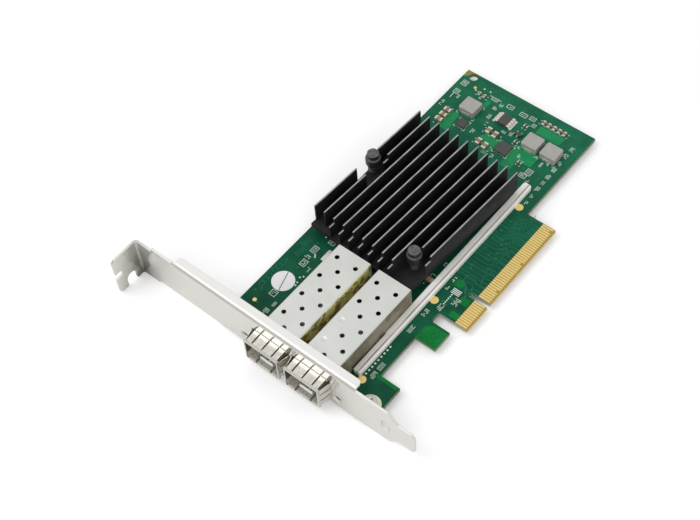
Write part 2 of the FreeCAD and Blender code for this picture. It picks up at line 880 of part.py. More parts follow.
def contact_rows(middle):
    """Place of every contact: y, blade height and where it drops to the board."""
    mouth_middle = top + housing_lift + mouth_z
    rear = -housing_front_x + housing_length
    rows = []
    for number in range(pin_count):
        y = middle + (number - (pin_count - 1) / 2) * pin_pitch
        rows.append((y - pin_pitch / 4, mouth_middle + mouth_height / 2 - pin_sheet, rear + upper_row_drop))
        rows.append((y + pin_pitch / 4, mouth_middle - mouth_height / 2, rear + lower_row_drop))
    return rows


def connector_contacts(index):
    """Both rows of contacts of one connector."""
    return group([contact_strip(*row) for row in contact_rows(port_y[index])])


def connector_housing(index):
    """Moulded housing with a card mouth, contact channels and locating pegs."""
    middle = port_y[index]
    front = -housing_front_x
    rear = front + housing_length
    low = top + housing_lift
    high = low + housing_height
    half = housing_width / 2
    block = upright_block(front, rear, middle - half, middle + half, low, high, 0.5)
    mouth_half = mouth_height / 2
    mouth_middle = low + mouth_z
    tools = [
        box(front - OVER, front + mouth_depth, middle - mouth_width / 2, middle + mouth_width / 2,
            mouth_middle - mouth_half, mouth_middle + mouth_half),
        prism(
            [
                (front - OVER, middle - mouth_width / 2, mouth_middle - mouth_half - mouth_chamfer - OVER),
                (front + mouth_chamfer, middle - mouth_width / 2, mouth_middle - mouth_half),
                (front + mouth_chamfer, middle - mouth_width / 2, mouth_middle + mouth_half),
                (front - OVER, middle - mouth_width / 2, mouth_middle + mouth_half + mouth_chamfer + OVER),
            ],
            (0, mouth_width, 0),
        ),
    ]
    for y, blade_z, rear_x in contact_rows(middle):
        side = pin_width / 2 + pin_channel_play
        tools.append(box(front + mouth_depth - OVER, rear + OVER, y - side, y + side,
                         blade_z - pin_channel_play, blade_z + pin_sheet + pin_channel_play))
    pegs = [rod(x, y, top - peg_depth, low + peg_play, peg_radius) for x, y in housing_pegs(middle)]
    return fused([cut(block, tools)] + pegs)


def status_light(index):
    """Light housing on the board with a domed lens looking through the bracket."""
    y = light_y[index]
    front = bracket_inner + light_setback
    half = light_width / 2
    body = box(front, front + light_depth, y - half, y + half, top, top + light_height)
    lens = rod_x(bracket_face + light_lens_gap, front, y, light_z, light_lens_radius)
    dome = [e for e in lens.Edges if e.BoundBox.XMax < bracket_face + 2 * light_lens_gap]
    return fused([body, lens.makeFillet(light_lens_radius * 0.5, dome[:1])])


# ---------------------------------------------------------------- controller and heat sink
def centred_block(x, y, side_x, side_y, low, high):
    """A block centred on a point of the board."""
    return box(x - side_x / 2, x + side_x / 2, y - side_y / 2, y + side_y / 2, low, high)


def controller_lid():
    """Moulded lid of the controller with bevelled upper edges."""
    low = top + chip_substrate
    lid = centred_block(chip_x, chip_y, lid_side, lid_side, low, low + lid_height)
    rim = [e for e in lid.Edges if e.BoundBox.ZMin > low + lid_height / 2]
    return lid.makeChamfer(lid_chamfer, rim)


def on_sink(shape):
    """Turn and move a shape from the heat sink's own axes to its place on the board."""
    placed = shape.copy()
    placed.rotate(Vector(0, 0, 0), Vector(0, 0, 1), sink_turn)
    placed.translate(Vector(sink_corner_x, sink_corner_y, 0))
    return placed


def in_sink_axes(x, y):
    """Where a point of the board lies along and across the fins."""
    turn = math.radians(sink_turn)
    step_x = x - sink_corner_x
    step_y = y - sink_corner_y
    along = step_x * math.cos(turn) + step_y * math.sin(turn)
    across = -step_x * math.sin(turn) + step_y * math.cos(turn)
    return along, across


def heat_sink():
    """Finned heat sink; two fins give way at each push pin and most end in a low foot."""
    upper_pin = in_sink_axes(*push_pins[0])
    lower_pin = in_sink_axes(*push_pins[1])
    pocket_start = upper_pin[0] - pocket_near
    pocket_end = upper_pin[0] + pocket_far
    parts = [box(-sink_step, sink_length, -sink_width, 0, sink_low_z, base_top_z)]
    for number in range(fin_count):
        high_v = -number * fin_pitch
        low_v = high_v - fin_thickness
        start = 0
        if number == fin_count - 2:
            start = lower_pin[0] + collar_radius + pin_fin_play
        if number == fin_count - 1:
            start = last_fin_start
        spans = [(start, sink_length, fin_top_z)]
        if number < pocket_fins:
            spans = [(start, pocket_start, fin_top_z), (pocket_end, sink_length, fin_top_z)]
        if number == pocket_fins - 1:
            spans.append((pocket_end - sink_step, pocket_end, foot_top))
        if number == fin_count - 1:
            spans.append((start - last_fin_foot, start, foot_top))
        if plain_fins <= number < fin_count - pocket_fins:
            spans.append((-sink_step, 0, foot_top))
        for low_u, high_u, high_z in spans:
            parts.append(box(low_u, high_u, low_v, high_v, base_top_z, high_z))
    hole = shank_radius + sink_hole_play
    low = sink_low_z - OVER
    high = base_top_z + OVER
    tools = [rod(u, v, low, high, hole) for u, v in (upper_pin, lower_pin)]
    tools.append(box(upper_pin[0] - hole, upper_pin[0] + hole, upper_pin[1], OVER, low, high))
    return on_sink(fused(parts).cut(tools))


def push_pin(index):
    """Headed pin with a rounded collar, a shank and a split barb under the board."""
    x, y = push_pins[index]
    collar_high = pin_top_z - pin_head_height + collar_overlap
    collar_low = collar_high - collar_height
    head = rod(x, y, collar_low, pin_top_z, pin_head_radius)
    collar = rod(x, y, collar_low, collar_high, collar_radius)
    rim = [e for e in collar.Edges if e.BoundBox.ZMin > collar_low + collar_height / 2
           and e.BoundBox.XLength > collar_radius]
    collar = collar.makeFillet(collar_round, rim[:1])
    shank = rod(x, y, back, collar_low, shank_radius)
    barb = Part.makeCone(barb_tip_radius, barb_radius, barb_length, Vector(x, y, back - barb_length))
    slot = box(x - barb_slot / 2, x + barb_slot / 2, y - barb_radius - OVER, y + barb_radius + OVER,
               back - barb_length - OVER, back)
    return fused([head, collar, shank, barb.cut(slot)])


def pin_spring(index):
    """Sleeve that takes up the room of the coil spring between collar and heat sink."""
    x, y = push_pins[index]
    high = pin_top_z - pin_head_height + collar_overlap - collar_height
    inner = shank_radius + sink_hole_play
    sleeve = rod(x, y, base_top_z, high, inner + 2 * spring_wire)
    return sleeve.cut(rod(x, y, base_top_z - OVER, high + OVER, inner))


# ---------------------------------------------------------------- stiffener bar
def bar_pegs():
    """Where the bar is pegged through the board."""
    middle = bar_low_y + bar_width / 2
    inset = bar_width
    return [(bar_near_x + inset, middle), (bar_near_x + bar_length / 2, middle),
            (bar_near_x + bar_length - inset, middle)]


def stiffener_bar():
    """Long rounded bar with a shallow groove, narrower beside the ports, pegged through the board."""
    far_x = bar_near_x + bar_length
    high_z = bar_low_z + bar_height
    bar = upright_block(bar_near_x, far_x, bar_low_y, bar_low_y + bar_width, bar_low_z, high_z,
                        bar_end_round)
    upper = [e for e in bar.Edges if e.BoundBox.ZMin > bar_low_z + bar_height / 2]
    bar = bar.makeFillet(bar_round, upper)
    step = box(bar_near_x - OVER, bar_near_x + bar_step_x, bar_low_y + bar_width - bar_step,
               bar_low_y + bar_width + OVER, bar_low_z - OVER, high_z + OVER)
    middle = bar_low_y + bar_groove_y
    groove = prism([(bar_near_x - OVER, middle, high_z - bar_groove_depth),
                    (bar_near_x - OVER, middle - bar_groove_width / 2, high_z),
                    (bar_near_x - OVER, middle - bar_groove_width / 2, high_z + OVER),
                    (bar_near_x - OVER, middle + bar_groove_width / 2, high_z + OVER),
                    (bar_near_x - OVER, middle + bar_groove_width / 2, high_z)],
                   (bar_length + 2 * OVER, 0, 0))
    pegs = [rod(x, y, back - bar_peg_below, bar_low_z + bar_round, bar_peg_radius) for x, y in bar_pegs()]
    return fused([cut(bar, [step, groove])] + pegs)


# ---------------------------------------------------------------- small electronics
def inductor_body(place):
    """Square moulded inductor with cut corners."""
    x, y = place
    low = top + clip_sheet
    block = centred_block(x, y, inductor_x, inductor_y, low, low + inductor_height)
    upright = [e for e in block.Edges if abs(e.tangentAt(e.FirstParameter).z) > 0.9]
    block = block.makeChamfer(inductor_chamfer, upright)
    upper = [e for e in block.Edges if e.BoundBox.ZMin > low + inductor_height / 2]
    return block.makeChamfer(inductor_top_chamfer, upper)


def inductor_clips(place):
    """The two folded end terminals of one inductor."""
    x, y = place
    low = y - clip_width / 2
    clips = []
    for side in (-1, 1):
        wall = x + side * inductor_x / 2
        clips.append(prism(
            [
                (wall, low, top + clip_sheet),
                (wall, low, top + clip_rise),
                (wall + side * clip_sheet, low, top + clip_rise),
                (wall + side * clip_sheet, low, top),
                (wall - side * clip_foot, low, top),
                (wall - side * clip_foot, low, top + clip_sheet),
            ],
            (0, clip_width, 0),
        ))
    return clips


def gull_lead(place, along_x, side, offset, width, body_half, span_half, height):
    """One bent lead that leaves a package along X or Y and stands on the board."""
    shoulder = top + height / 2
    bend = span_half - (span_half - body_half) * lead_foot_share
    outline = [
        (body_half, shoulder),
        (bend, shoulder),
        (bend, top),
        (span_half, top),
        (span_half, top + lead_sheet),
        (bend + lead_sheet, top + lead_sheet),
        (bend + lead_sheet, shoulder + lead_sheet),
        (body_half, shoulder + lead_sheet),
    ]
    x, y = place
    if along_x:
        points = [(x + side * reach, y + offset - width / 2, z) for reach, z in outline]
        return prism(points, (0, width, 0))
    points = [(x + offset - width / 2, y + side * reach, z) for reach, z in outline]
    return prism(points, (width, 0, 0))


def moulded_package(place, size_x, size_y, height, bevelled):
    """A moulded package body, with bevelled upper edges."""
    x, y = place
    body = centred_block(x, y, size_x, size_y, top + package_lift, top + height)
    upper = [e for e in body.Edges if e.BoundBox.ZMin > top + height / 2]
    return body.makeChamfer(bevelled, upper)


def memory_leads_group():
    """Leads of the memory chip, along both of its Y sides."""
    leads = []
    for side in (-1, 1):
        for number in range(memory_leads):
            offset = (number - (memory_leads - 1) / 2) * lead_pitch
            leads.append(gull_lead(memory_place, False, side, offset, memory_lead_width,
                                   memory_y / 2, memory_span / 2, memory_height))
    return group(leads)


def transistor_leads():
    """Two leads on one side and one on the other."""
    leads = []
    for side, offset in ((1, transistor_lead_spread), (1, -transistor_lead_spread), (-1, 0)):
        leads.append(gull_lead(transistor_place, True, side, offset, transistor_lead_width,
                               transistor_x / 2, transistor_span / 2, transistor_height))
    return group(leads)


def regulator_body(place):
    """Flat square package standing on the board."""
    x, y, side = place
    return centred_block(x, y, side, side, top, top + regulator_height)


def regulator_terminals(place):
    """Solder lands round a flat package, on all four sides."""
    x, y, side = place
    half = side / 2
    pitch = side / (regulator_pads + 1)
    high = top + regulator_pad_height
    lands = []
    for number in range(regulator_pads):
        offset = (number - (regulator_pads - 1) / 2) * pitch
        low = offset - regulator_pad_width / 2
        far = offset + regulator_pad_width / 2
        for way in (-1, 1):
            near_edge = min(way * half, way * (half + regulator_pad_reach))
            far_edge = near_edge + regulator_pad_reach
            lands.append(box(x + near_edge, x + far_edge, y + low, y + far, top, high))
            lands.append(box(x + low, x + far, y + near_edge, y + far_edge, top, high))
    return lands


def crystal_can():
    """Metal can of the clock crystal on its flat base."""
    x, y = crystal_place
    base = centred_block(x, y, crystal_x, crystal_y, top, top + crystal_base)
    can = upright_block(x - crystal_x / 2 + crystal_rim, x + crystal_x / 2 - crystal_rim,
                        y - crystal_y / 2 + crystal_rim, y + crystal_y / 2 - crystal_rim,
                        top + crystal_base, top + crystal_height, crystal_rim)
    return fused([base, can])


def ceramic_places():
    """Every ceramic capacitor on the component side."""
    places = list(capacitors)
    for number in range(small_row_count):
        places.append((small_row_x, small_row_y + number * small_row_pitch) + small_row_size)
    return places


def ceramic_bodies(places, low_z):
    """Bodies of several ceramic parts."""
    return group([end_capped(*place, low_z)[0] for place in places])


def ceramic_caps(places, low_z):
    """End caps of several ceramic parts."""
    caps = []
    for place in places:
        caps += end_capped(*place, low_z)[1]
    return group(caps)


def back_places():
    """Capacitors on the solder side, in a grid under the controller."""
    size_x, size_y, height = back_capacitor_size
    places = []
    for column in range(back_capacitor_columns):
        for row in range(back_capacitor_rows):
            x = chip_x + (column - (back_capacitor_columns - 1) / 2) * back_capacitor_pitch
            y = chip_y + (row - (back_capacitor_rows - 1) / 2) * back_capacitor_pitch
            places.append((x, y, size_x, size_y, height))
    return places


def build():
    """Every node of the card by name."""
    nodes = {
        "circuit_board": circuit_board(),
        "edge_contacts_top": edge_contacts(1),
        "edge_contacts_bottom": edge_contacts(-1),
        "plated_pads": plated_pads(),
        "mounting_bracket": mounting_bracket(),
        "bracket_screws": bracket_screws(),
        "bracket_nuts": bracket_nuts(),
        "controller_substrate": centred_block(chip_x, chip_y, chip_side, chip_side, top,
                                              top + chip_substrate),
        "controller_lid": controller_lid(),
        "thermal_pad": centred_block(chip_x, chip_y, pad_side, pad_side, chip_top, sink_low_z),
        "heat_sink": heat_sink(),
        "stiffener_bar": stiffener_bar(),
        "memory_chip": moulded_package(memory_place, memory_x, memory_y, memory_height, 0.3),
        "memory_chip_leads": memory_leads_group(),
        "transistor": moulded_package(transistor_place, transistor_x, transistor_y,
                                      transistor_height, 0.15),
        "transistor_leads": transistor_leads(),
        "clock_crystal": crystal_can(),
        "capacitor_bodies": ceramic_bodies(ceramic_places(), top),
        "capacitor_end_caps": ceramic_caps(ceramic_places(), top),
        "resistor_bodies": ceramic_bodies(resistors, top),
        "resistor_end_caps": ceramic_caps(resistors, top),
        "back_capacitor_bodies": ceramic_bodies(back_places(), back - back_capacitor_size[2]),
        "back_capacitor_end_caps": ceramic_caps(back_places(), back - back_capacitor_size[2]),
        "inspection_label": rod(label_x, label_y, top, top + label_thickness, label_radius),
    }
    for index in range(len(port_y)):
        port = "port_" + str(index + 1)
        nodes[port + "_cage_cover"] = cage_cover(index)
        nodes[port + "_cage_base"] = cage_base(index)
        nodes[port + "_spring_collar"] = spring_collar(index)
        nodes[port + "_connector"] = connector_housing(index)
        nodes[port + "_contacts"] = connector_contacts(index)
        nodes["status_light_" + str(index + 1)] = status_light(index)
    for index in range(len(push_pins)):
        nodes["push_pin_" + str(index + 1)] = push_pin(index)
        nodes["pin_spring_" + str(index + 1)] = pin_spring(index)
    for index, place in enumerate(inductor_places):
        nodes["power_inductor_" + str(index + 1)] = inductor_body(place)
    clips = []
    for place in inductor_places:
        clips += inductor_clips(place)
    nodes["inductor_terminals"] = group(clips)
    lands = []
    for index, place in enumerate(regulators):
        nodes["regulator_" + str(index + 1)] = regulator_body(place)
        lands += regulator_terminals(place)
    nodes["regulator_terminals"] = group(lands)
    return nodes


os.makedirs("parts", exist_ok=True)
for name, shape in build().items():
    shape.exportStep("parts/" + name + ".step")
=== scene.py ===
import bpy
import bmesh
import json
import math
import random
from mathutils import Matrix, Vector


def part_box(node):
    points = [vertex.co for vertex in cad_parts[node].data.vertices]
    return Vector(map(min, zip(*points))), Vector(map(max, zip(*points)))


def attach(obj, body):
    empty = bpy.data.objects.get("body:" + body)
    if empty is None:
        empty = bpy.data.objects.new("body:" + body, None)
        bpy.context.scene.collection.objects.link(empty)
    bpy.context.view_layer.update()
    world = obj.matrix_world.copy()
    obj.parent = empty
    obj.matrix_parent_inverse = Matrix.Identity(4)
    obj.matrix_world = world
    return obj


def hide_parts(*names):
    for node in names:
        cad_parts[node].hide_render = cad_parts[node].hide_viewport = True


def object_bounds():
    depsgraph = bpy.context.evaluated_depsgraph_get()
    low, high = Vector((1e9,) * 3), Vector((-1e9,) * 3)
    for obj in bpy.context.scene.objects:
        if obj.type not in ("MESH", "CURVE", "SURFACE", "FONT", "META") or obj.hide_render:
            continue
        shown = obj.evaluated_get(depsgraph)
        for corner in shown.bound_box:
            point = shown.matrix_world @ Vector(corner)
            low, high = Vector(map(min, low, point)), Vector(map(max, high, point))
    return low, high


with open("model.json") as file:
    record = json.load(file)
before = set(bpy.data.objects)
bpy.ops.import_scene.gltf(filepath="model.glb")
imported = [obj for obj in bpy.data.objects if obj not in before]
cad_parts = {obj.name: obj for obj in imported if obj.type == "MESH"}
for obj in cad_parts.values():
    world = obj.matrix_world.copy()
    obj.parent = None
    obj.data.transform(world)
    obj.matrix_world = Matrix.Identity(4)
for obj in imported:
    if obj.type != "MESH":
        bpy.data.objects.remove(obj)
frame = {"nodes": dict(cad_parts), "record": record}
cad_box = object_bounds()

MM = 0.001
rng = random.Random(11)
NODES = frame["nodes"]


def edges(node):
    """Lowest and highest corner of a CAD node in millimetres."""
    low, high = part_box(node)
    return low / MM, high / MM


def middle_of(node):
    """Middle of a CAD node in millimetres."""
    low, high = edges(node)
    return (low + high) / 2


# ---------------------------------------------------------------- materials
class Nodes:
    """Small helper that builds one node material."""

    def __init__(self, name):
        self.mat = bpy.data.materials.new(name)
        self.mat.use_nodes = True
        self.tree = self.mat.node_tree
        self.bsdf = self.tree.nodes["Principled BSDF"]
        self.coord = self.tree.nodes.new("ShaderNodeTexCoord").outputs["Object"]

    def node(self, kind, **inputs):
        made = self.tree.nodes.new(kind)
        for key, value in inputs.items():
            self.put(made.inputs[key], value)
        return made

    def put(self, socket, value):
        if isinstance(value, bpy.types.NodeSocket):
            self.tree.links.new(value, socket)
        else:
            socket.default_value = value

    def math(self, operation, a, b=0.0):
        made = self.tree.nodes.new("ShaderNodeMath")
        made.operation = operation
        self.put(made.inputs[0], a)
        self.put(made.inputs[1], b)
        return made.outputs[0]

    def times(self, a, b):
        return self.math("MULTIPLY", a, b)

    def distance(self, first, first_place, second, second_place):
        """Distance from a line given by its place on two axes, in millimetres."""
        a = self.math("SUBTRACT", self.axis(first), first_place * MM)
        b = self.math("SUBTRACT", self.axis(second), second_place * MM)
        return self.math("SQRT", self.math("ADD", self.times(a, a), self.times(b, b)))

    def noise(self, size, detail=3.0, stretch=(1, 1, 1)):
        """Noise whose features are about size millimetres."""
        mapped = self.tree.nodes.new("ShaderNodeMapping")
        self.put(mapped.inputs["Vector"], self.coord)
        mapped.inputs["Scale"].default_value = [1 / (s * MM) for s in stretch]
        made = self.node("ShaderNodeTexNoise", Vector=mapped.outputs[0], Scale=1.0 / size, Detail=detail)
        return made.outputs["Fac"]

    def ramp(self, fac, low, high, from_low=0.35, from_high=0.65):
        """Map a factor to a range of numbers."""
        made = self.tree.nodes.new("ShaderNodeMapRange")
        self.put(made.inputs["Value"], fac)
        limits = {"From Min": from_low, "From Max": from_high, "To Min": low, "To Max": high}
        for key, value in limits.items():
            made.inputs[key].default_value = value
        return made.outputs[0]

    def mix(self, fac, a, b):
        made = self.tree.nodes.new("ShaderNodeMix")
        made.data_type = "RGBA"
        self.put(made.inputs["Factor"], fac)
        self.put(made.inputs[6], (*a, 1) if isinstance(a, tuple) else a)
        self.put(made.inputs[7], (*b, 1) if isinstance(b, tuple) else b)
        return made.outputs[2]

    def axis(self, name):
        split = self.node("ShaderNodeSeparateXYZ", Vector=self.coord)
        return split.outputs[name]

    def facing(self, name):
        """How far the surface faces along one axis, without its sign."""
        geometry = self.tree.nodes.new("ShaderNodeNewGeometry")
        split = self.node("ShaderNodeSeparateXYZ", Vector=geometry.outputs["True Normal"])
        return self.math("ABSOLUTE", split.outputs[name])

    def finish(self, color, rough, bump=None, depth=0.02, soft=0.12):
        """Connect colour and roughness, with a fine bump over rounded edges."""
        self.put(self.bsdf.inputs["Base Color"], color)
        self.put(self.bsdf.inputs["Roughness"], rough)
        normal = None
        if soft:
            round_edge = self.node("ShaderNodeBevel", Radius=soft * MM)
            round_edge.samples = 4
            normal = round_edge.outputs[0]
        if bump is not None:
            made = self.node("ShaderNodeBump", Height=bump, Strength=0.6, Distance=depth * MM)
            if normal is not None:
                self.put(made.inputs["Normal"], normal)
            normal = made.outputs[0]
        if normal is not None:
            self.put(self.bsdf.inputs["Normal"], normal)
        return self.mat


def plain(name, color, rough, metal=0.0, vary=0.12, grain=0.6, stretch=(1, 1, 1), depth=0.01, soft=0.12,
          shine=0.5):
    """A material with colour variation, uneven roughness and a fine bump."""
    n = Nodes(name)
    n.bsdf.inputs["Metallic"].default_value = metal
    n.bsdf.inputs["Specular IOR Level"].default_value = shine
    large = n.noise(grain * 12, 2.0)
    fine = n.noise(grain, 4.0, stretch)
    light = tuple(min(1.0, c * (1 + vary)) for c in color)
    dark = tuple(c * (1 - vary) for c in color)
    tone = n.times(n.math("ADD", large, fine), 0.5)
    return n.finish(n.mix(n.ramp(tone, 0, 1), dark, light), n.ramp(fine, rough * 0.8, rough * 1.25), fine,
                    depth, soft)


# places on the board that its material needs, in millimetres
TONGUE_X = -13.0        # the tongue lies beyond this
SLOTS_LOW_X = -17.0     # the guide slot and the key notch lie between these
SLOTS_HIGH_X = 1.5
BARE_CORNER = 3.5       # size of the unlacquered far corner


def board_material(high, tip):
    """Green lacquer on both faces, bare laminate at the edges, along the contacts and at one corner; the slot
    walls facing along X are painted grey as painted shade.
    """
    n = Nodes("board_lacquer")
    n.bsdf.inputs["Specular IOR Level"].default_value = 0.12
    large = n.noise(22.0, 2.0)
    middle = n.noise(5.0, 2.0)
    fine = n.noise(0.35, 3.0)
    far_end = n.ramp(n.axis("X"), 0, 1, 0.0, 0.06)
    dark = n.mix(far_end, (0.0030, 0.064, 0.032), (0.008, 0.112, 0.056))
    pale = n.mix(far_end, (0.0045, 0.098, 0.048), (0.012, 0.150, 0.074))
    cloud = n.times(n.math("ADD", large, middle), 0.5)
    base = n.mix(n.ramp(cloud, 0, 1, 0.42, 0.6), dark, pale)
    laminate = n.mix(n.ramp(fine, 0, 1), (0.34, 0.225, 0.050), (0.46, 0.31, 0.085))
    gilt = n.mix(n.ramp(fine, 0, 1), (0.56, 0.42, 0.10), (0.70, 0.55, 0.16))
    strip = n.times(n.math("LESS_THAN", n.axis("Y"), tip * MM),
                    n.math("GREATER_THAN", n.axis("X"), TONGUE_X * MM))
    along = n.math("DIVIDE", n.math("SUBTRACT", high.x * MM, n.axis("X")), BARE_CORNER * MM)
    down = n.math("DIVIDE", n.math("SUBTRACT", high.y * MM, n.axis("Y")), BARE_CORNER * MM)
    corner = n.math("LESS_THAN", n.math("ADD", along, down), n.ramp(middle, 0.8, 1.2))
    bare = n.math("MAXIMUM", strip, n.times(corner, 0.6))
    weave = n.node("ShaderNodeTexWave", Vector=n.coord, Scale=900.0, Distortion=0.6)
    weave.bands_direction = "Y"
    side = n.ramp(n.facing("Z"), 1, 0, 0.4, 0.6)
    # painted shade: walls facing along X in the guide slot and the key notch are painted grey
    slots = n.times(n.math("LESS_THAN", n.axis("X"), SLOTS_HIGH_X * MM),
                    n.math("GREATER_THAN", n.axis("X"), SLOTS_LOW_X * MM))
    slot_walls_painted_shade = n.times(n.ramp(n.facing("X"), 0, 1, 0.3, 0.9), slots)
    edge = n.mix(weave.outputs["Fac"], (0.115, 0.150, 0.055), (0.20, 0.22, 0.10))
    walls = n.mix(slot_walls_painted_shade, n.mix(strip, edge, gilt), (0.36, 0.36, 0.33))
    tone = n.mix(side, n.mix(bare, base, laminate), walls)
    return n.finish(tone, n.ramp(fine, 0.30, 0.42), fine, 0.006, 0.05)


def sink_material(tip_z):
    """Black anodised fins with bare, lightly scratched tips."""
    n = Nodes("black_anodised_bare_tips")
    n.bsdf.inputs["Specular IOR Level"].default_value = 0.16
    fine = n.noise(0.5, 4.0, (8, 1, 1))
    up = n.ramp(n.facing("Z"), 0, 1, 0.7, 0.9)
    at_tip = n.math("GREATER_THAN", n.axis("Z"), tip_z * MM)
    bare = n.times(up, at_tip)
    tip = n.mix(n.ramp(fine, 0, 1), (0.24, 0.24, 0.245), (0.40, 0.40, 0.41))
    black = n.mix(n.ramp(n.noise(6.0), 0, 1), (0.015, 0.015, 0.0165), (0.024, 0.024, 0.026))
    return n.finish(n.mix(bare, black, tip), n.ramp(fine, 0.42, 0.58), fine, 0.008, 0.05)


def cage_material(name, mouth_x, gold_reflection_y=None):
    """Tinned sheet: satin above; the walls painted dark olive as painted shade, with painted gold reflections
    of the gilded ground on the wall below the given y.

    The part in front of mouth_x, under the spring collar, is painted dull brown as painted shade.
    """
    n = Nodes(name)
    fine = n.noise(0.45, 4.0)
    large = n.noise(9.0, 2.0)
    wall = n.ramp(n.facing("Y"), 0, 1, 0.5, 0.9)
    top = n.mix(n.ramp(large, 0, 1), (0.735, 0.745, 0.715), (0.775, 0.785, 0.755))
    # painted shade: walls facing along Y are painted dark olive
    low = n.mix(n.ramp(n.noise(4.5, 1.0), 0, 1, 0.42, 0.58), (0.15, 0.135, 0.085), (0.26, 0.24, 0.165))
    # painted reflection: gold patches of the gilded ground on the wall below the given y
    if gold_reflection_y is not None:
        gilt = n.mix(n.ramp(n.noise(2.4, 1.0), 0, 1, 0.45, 0.55), (0.34, 0.30, 0.08), (1.0, 0.95, 0.42))
        low = n.mix(n.math("LESS_THAN", n.axis("Y"), gold_reflection_y * MM), low, gilt)
    rough = n.math("SUBTRACT", n.ramp(fine, 0.40, 0.50), n.times(wall, 0.10))
    n.put(n.bsdf.inputs["Metallic"], n.math("SUBTRACT", 1.0, n.times(wall, 0.75)))
    # painted shade: dull brown in front of the mouth, under the spring collar, except on faces along X
    across = n.math("SUBTRACT", 1.0, n.ramp(n.facing("X"), 0, 1, 0.5, 0.8))
    under_collar_painted_shade = n.times(n.math("LESS_THAN", n.axis("X"), mouth_x * MM), across)
    return n.finish(n.mix(under_collar_painted_shade, n.mix(wall, top, low), (0.10, 0.085, 0.055)), rough, fine, 0.002, 0.08)


LIGHT_HOLE_REACH = 1.73     # just over the radius of the bracket's round light holes; the sheet within it is painted near white as painted light


def bracket_material(fold_x, fold_y, low_z, high_z, holes):
    """Nickelled sheet with painted light and shade: paler where it faces up and near white in the light
    holes, darker on its bends and in the corner under the screw tab.
    """
    n = Nodes("nickel_plate")
    fine = n.noise(1.6, 4.0)
    # painted light: faces that look up, such as the flange, are painted paler
    up = n.ramp(n.facing("Z"), 0, 1, 0.5, 0.95)
    side = n.mix(n.ramp(fine, 0, 1), (0.725, 0.705, 0.66), (0.745, 0.725, 0.68))
    # painted shade: darker near the corner under the screw tab and towards the bottom
    near = n.ramp(n.distance("X", fold_x, "Y", fold_y), 1, 0, 0.5 * MM, 10.5 * MM)
    down = n.ramp(n.axis("Z"), 1.1, 0.30, low_z * MM, high_z * MM)
    corner_painted_shade = n.times(n.times(near, down), n.ramp(n.noise(3.5, 1.0), 0.65, 0.95))
    # painted shade: the bends between faces along X and faces up are painted darker
    bend = n.times(n.ramp(n.facing("Z"), 0, 1, 0.10, 0.30), n.ramp(n.facing("X"), 0, 1, 0.25, 0.45))
    sheet_painted_light_and_shade = n.mix(bend, n.mix(up, side, (0.86, 0.85, 0.82)), (0.56, 0.53, 0.50))
    # painted light: the walls of the light holes are painted near white
    hole_wall_painted_light = 0.0
    for y, z in holes:
        inside = n.math("LESS_THAN", n.distance("Y", y, "Z", z), LIGHT_HOLE_REACH * MM)
        hole_wall_painted_light = n.math("MAXIMUM", hole_wall_painted_light, inside)
    tone = n.mix(hole_wall_painted_light, n.mix(corner_painted_shade, sheet_painted_light_and_shade, (0.10, 0.088, 0.07)), (0.99, 0.97, 0.89))
    dull = n.math("MAXIMUM", n.times(up, 0.50), n.times(hole_wall_painted_light, 0.75))
    n.put(n.bsdf.inputs["Metallic"], n.math("SUBTRACT", 0.75, dull))
    return n.finish(tone, n.ramp(fine, 0.14, 0.21), fine, 0.0002, 0.30)


def bar_material(groove_y, rim_y):
    """Satin bar with a painted shade line along its groove and a painted highlight along its low rim."""
    n = Nodes("satin_bar")
    fine = n.noise(0.8, 4.0, (6, 1, 1))
    streak = n.noise(3.0, 2.0, (5, 0.4, 1))
    off = n.math("ABSOLUTE", n.math("SUBTRACT", n.axis("Y"), groove_y * MM))
    # painted shade: a dark line along the groove, broken by streaks
    crease_painted_shade = n.times(n.ramp(off, 1, 0, 0.12 * MM, 0.34 * MM), n.ramp(streak, 0.45, 1.0))
    # painted highlight: a bright band along the low side of the bar
    rim = n.ramp(n.axis("Y"), 1, 0, (rim_y + 0.2) * MM, (rim_y + 0.6) * MM)
    body = n.mix(n.ramp(fine, 0, 1), (0.84, 0.82, 0.775), (0.90, 0.88, 0.835))
    tone = n.mix(crease_painted_shade, n.mix(rim, body, (0.99, 0.98, 0.94)), (0.26, 0.24, 0.22))
    n.bsdf.inputs["Metallic"].default_value = 0.10
    return n.finish(tone, n.ramp(fine, 0.32, 0.48), fine, 0.001, 0.12)


def lens_material(low, high):
    """Status light: its upper part painted near black as painted shade, over a milky foot."""
    n = Nodes("milky_lens")
    fine = n.noise(0.5, 3.0)
    middle = (low.z + high.z) / 2
    # painted shade: all above about a millimetre under the middle is near black
    above = n.ramp(n.axis("Z"), 0, 1, (middle - 1.1) * MM, (middle - 0.9) * MM)
    milky = n.mix(n.ramp(fine, 0, 1), (0.90, 0.89, 0.80), (0.97, 0.96, 0.87))
    n.bsdf.inputs["Specular IOR Level"].default_value = 0.06
    return n.finish(n.mix(above, milky, (0.006, 0.006, 0.005)), n.ramp(fine, 0.40, 0.50), fine, 0.004, 0.08)


def pin_material():
    """Black nylon; faces that look up, mostly on the heads, painted greyer as painted light."""
    n = Nodes("pin_nylon")
    fine = n.noise(0.5, 4.0)
    up = n.ramp(n.facing("Z"), 0, 1, 0.55, 0.95)
    # painted light: up-facing faces greyer, the sides near black
    tone = n.mix(up, n.mix(n.ramp(fine, 0, 1), (0.016, 0.016, 0.018), (0.026, 0.026, 0.030)),
                 n.mix(n.ramp(n.noise(1.2, 3.0), 0, 1), (0.055, 0.055, 0.060), (0.125, 0.125, 0.135)))
    n.bsdf.inputs["Specular IOR Level"].default_value = 0.4
    return n.finish(tone, n.ramp(fine, 0.32, 0.48), fine, 0.02, 0.25)


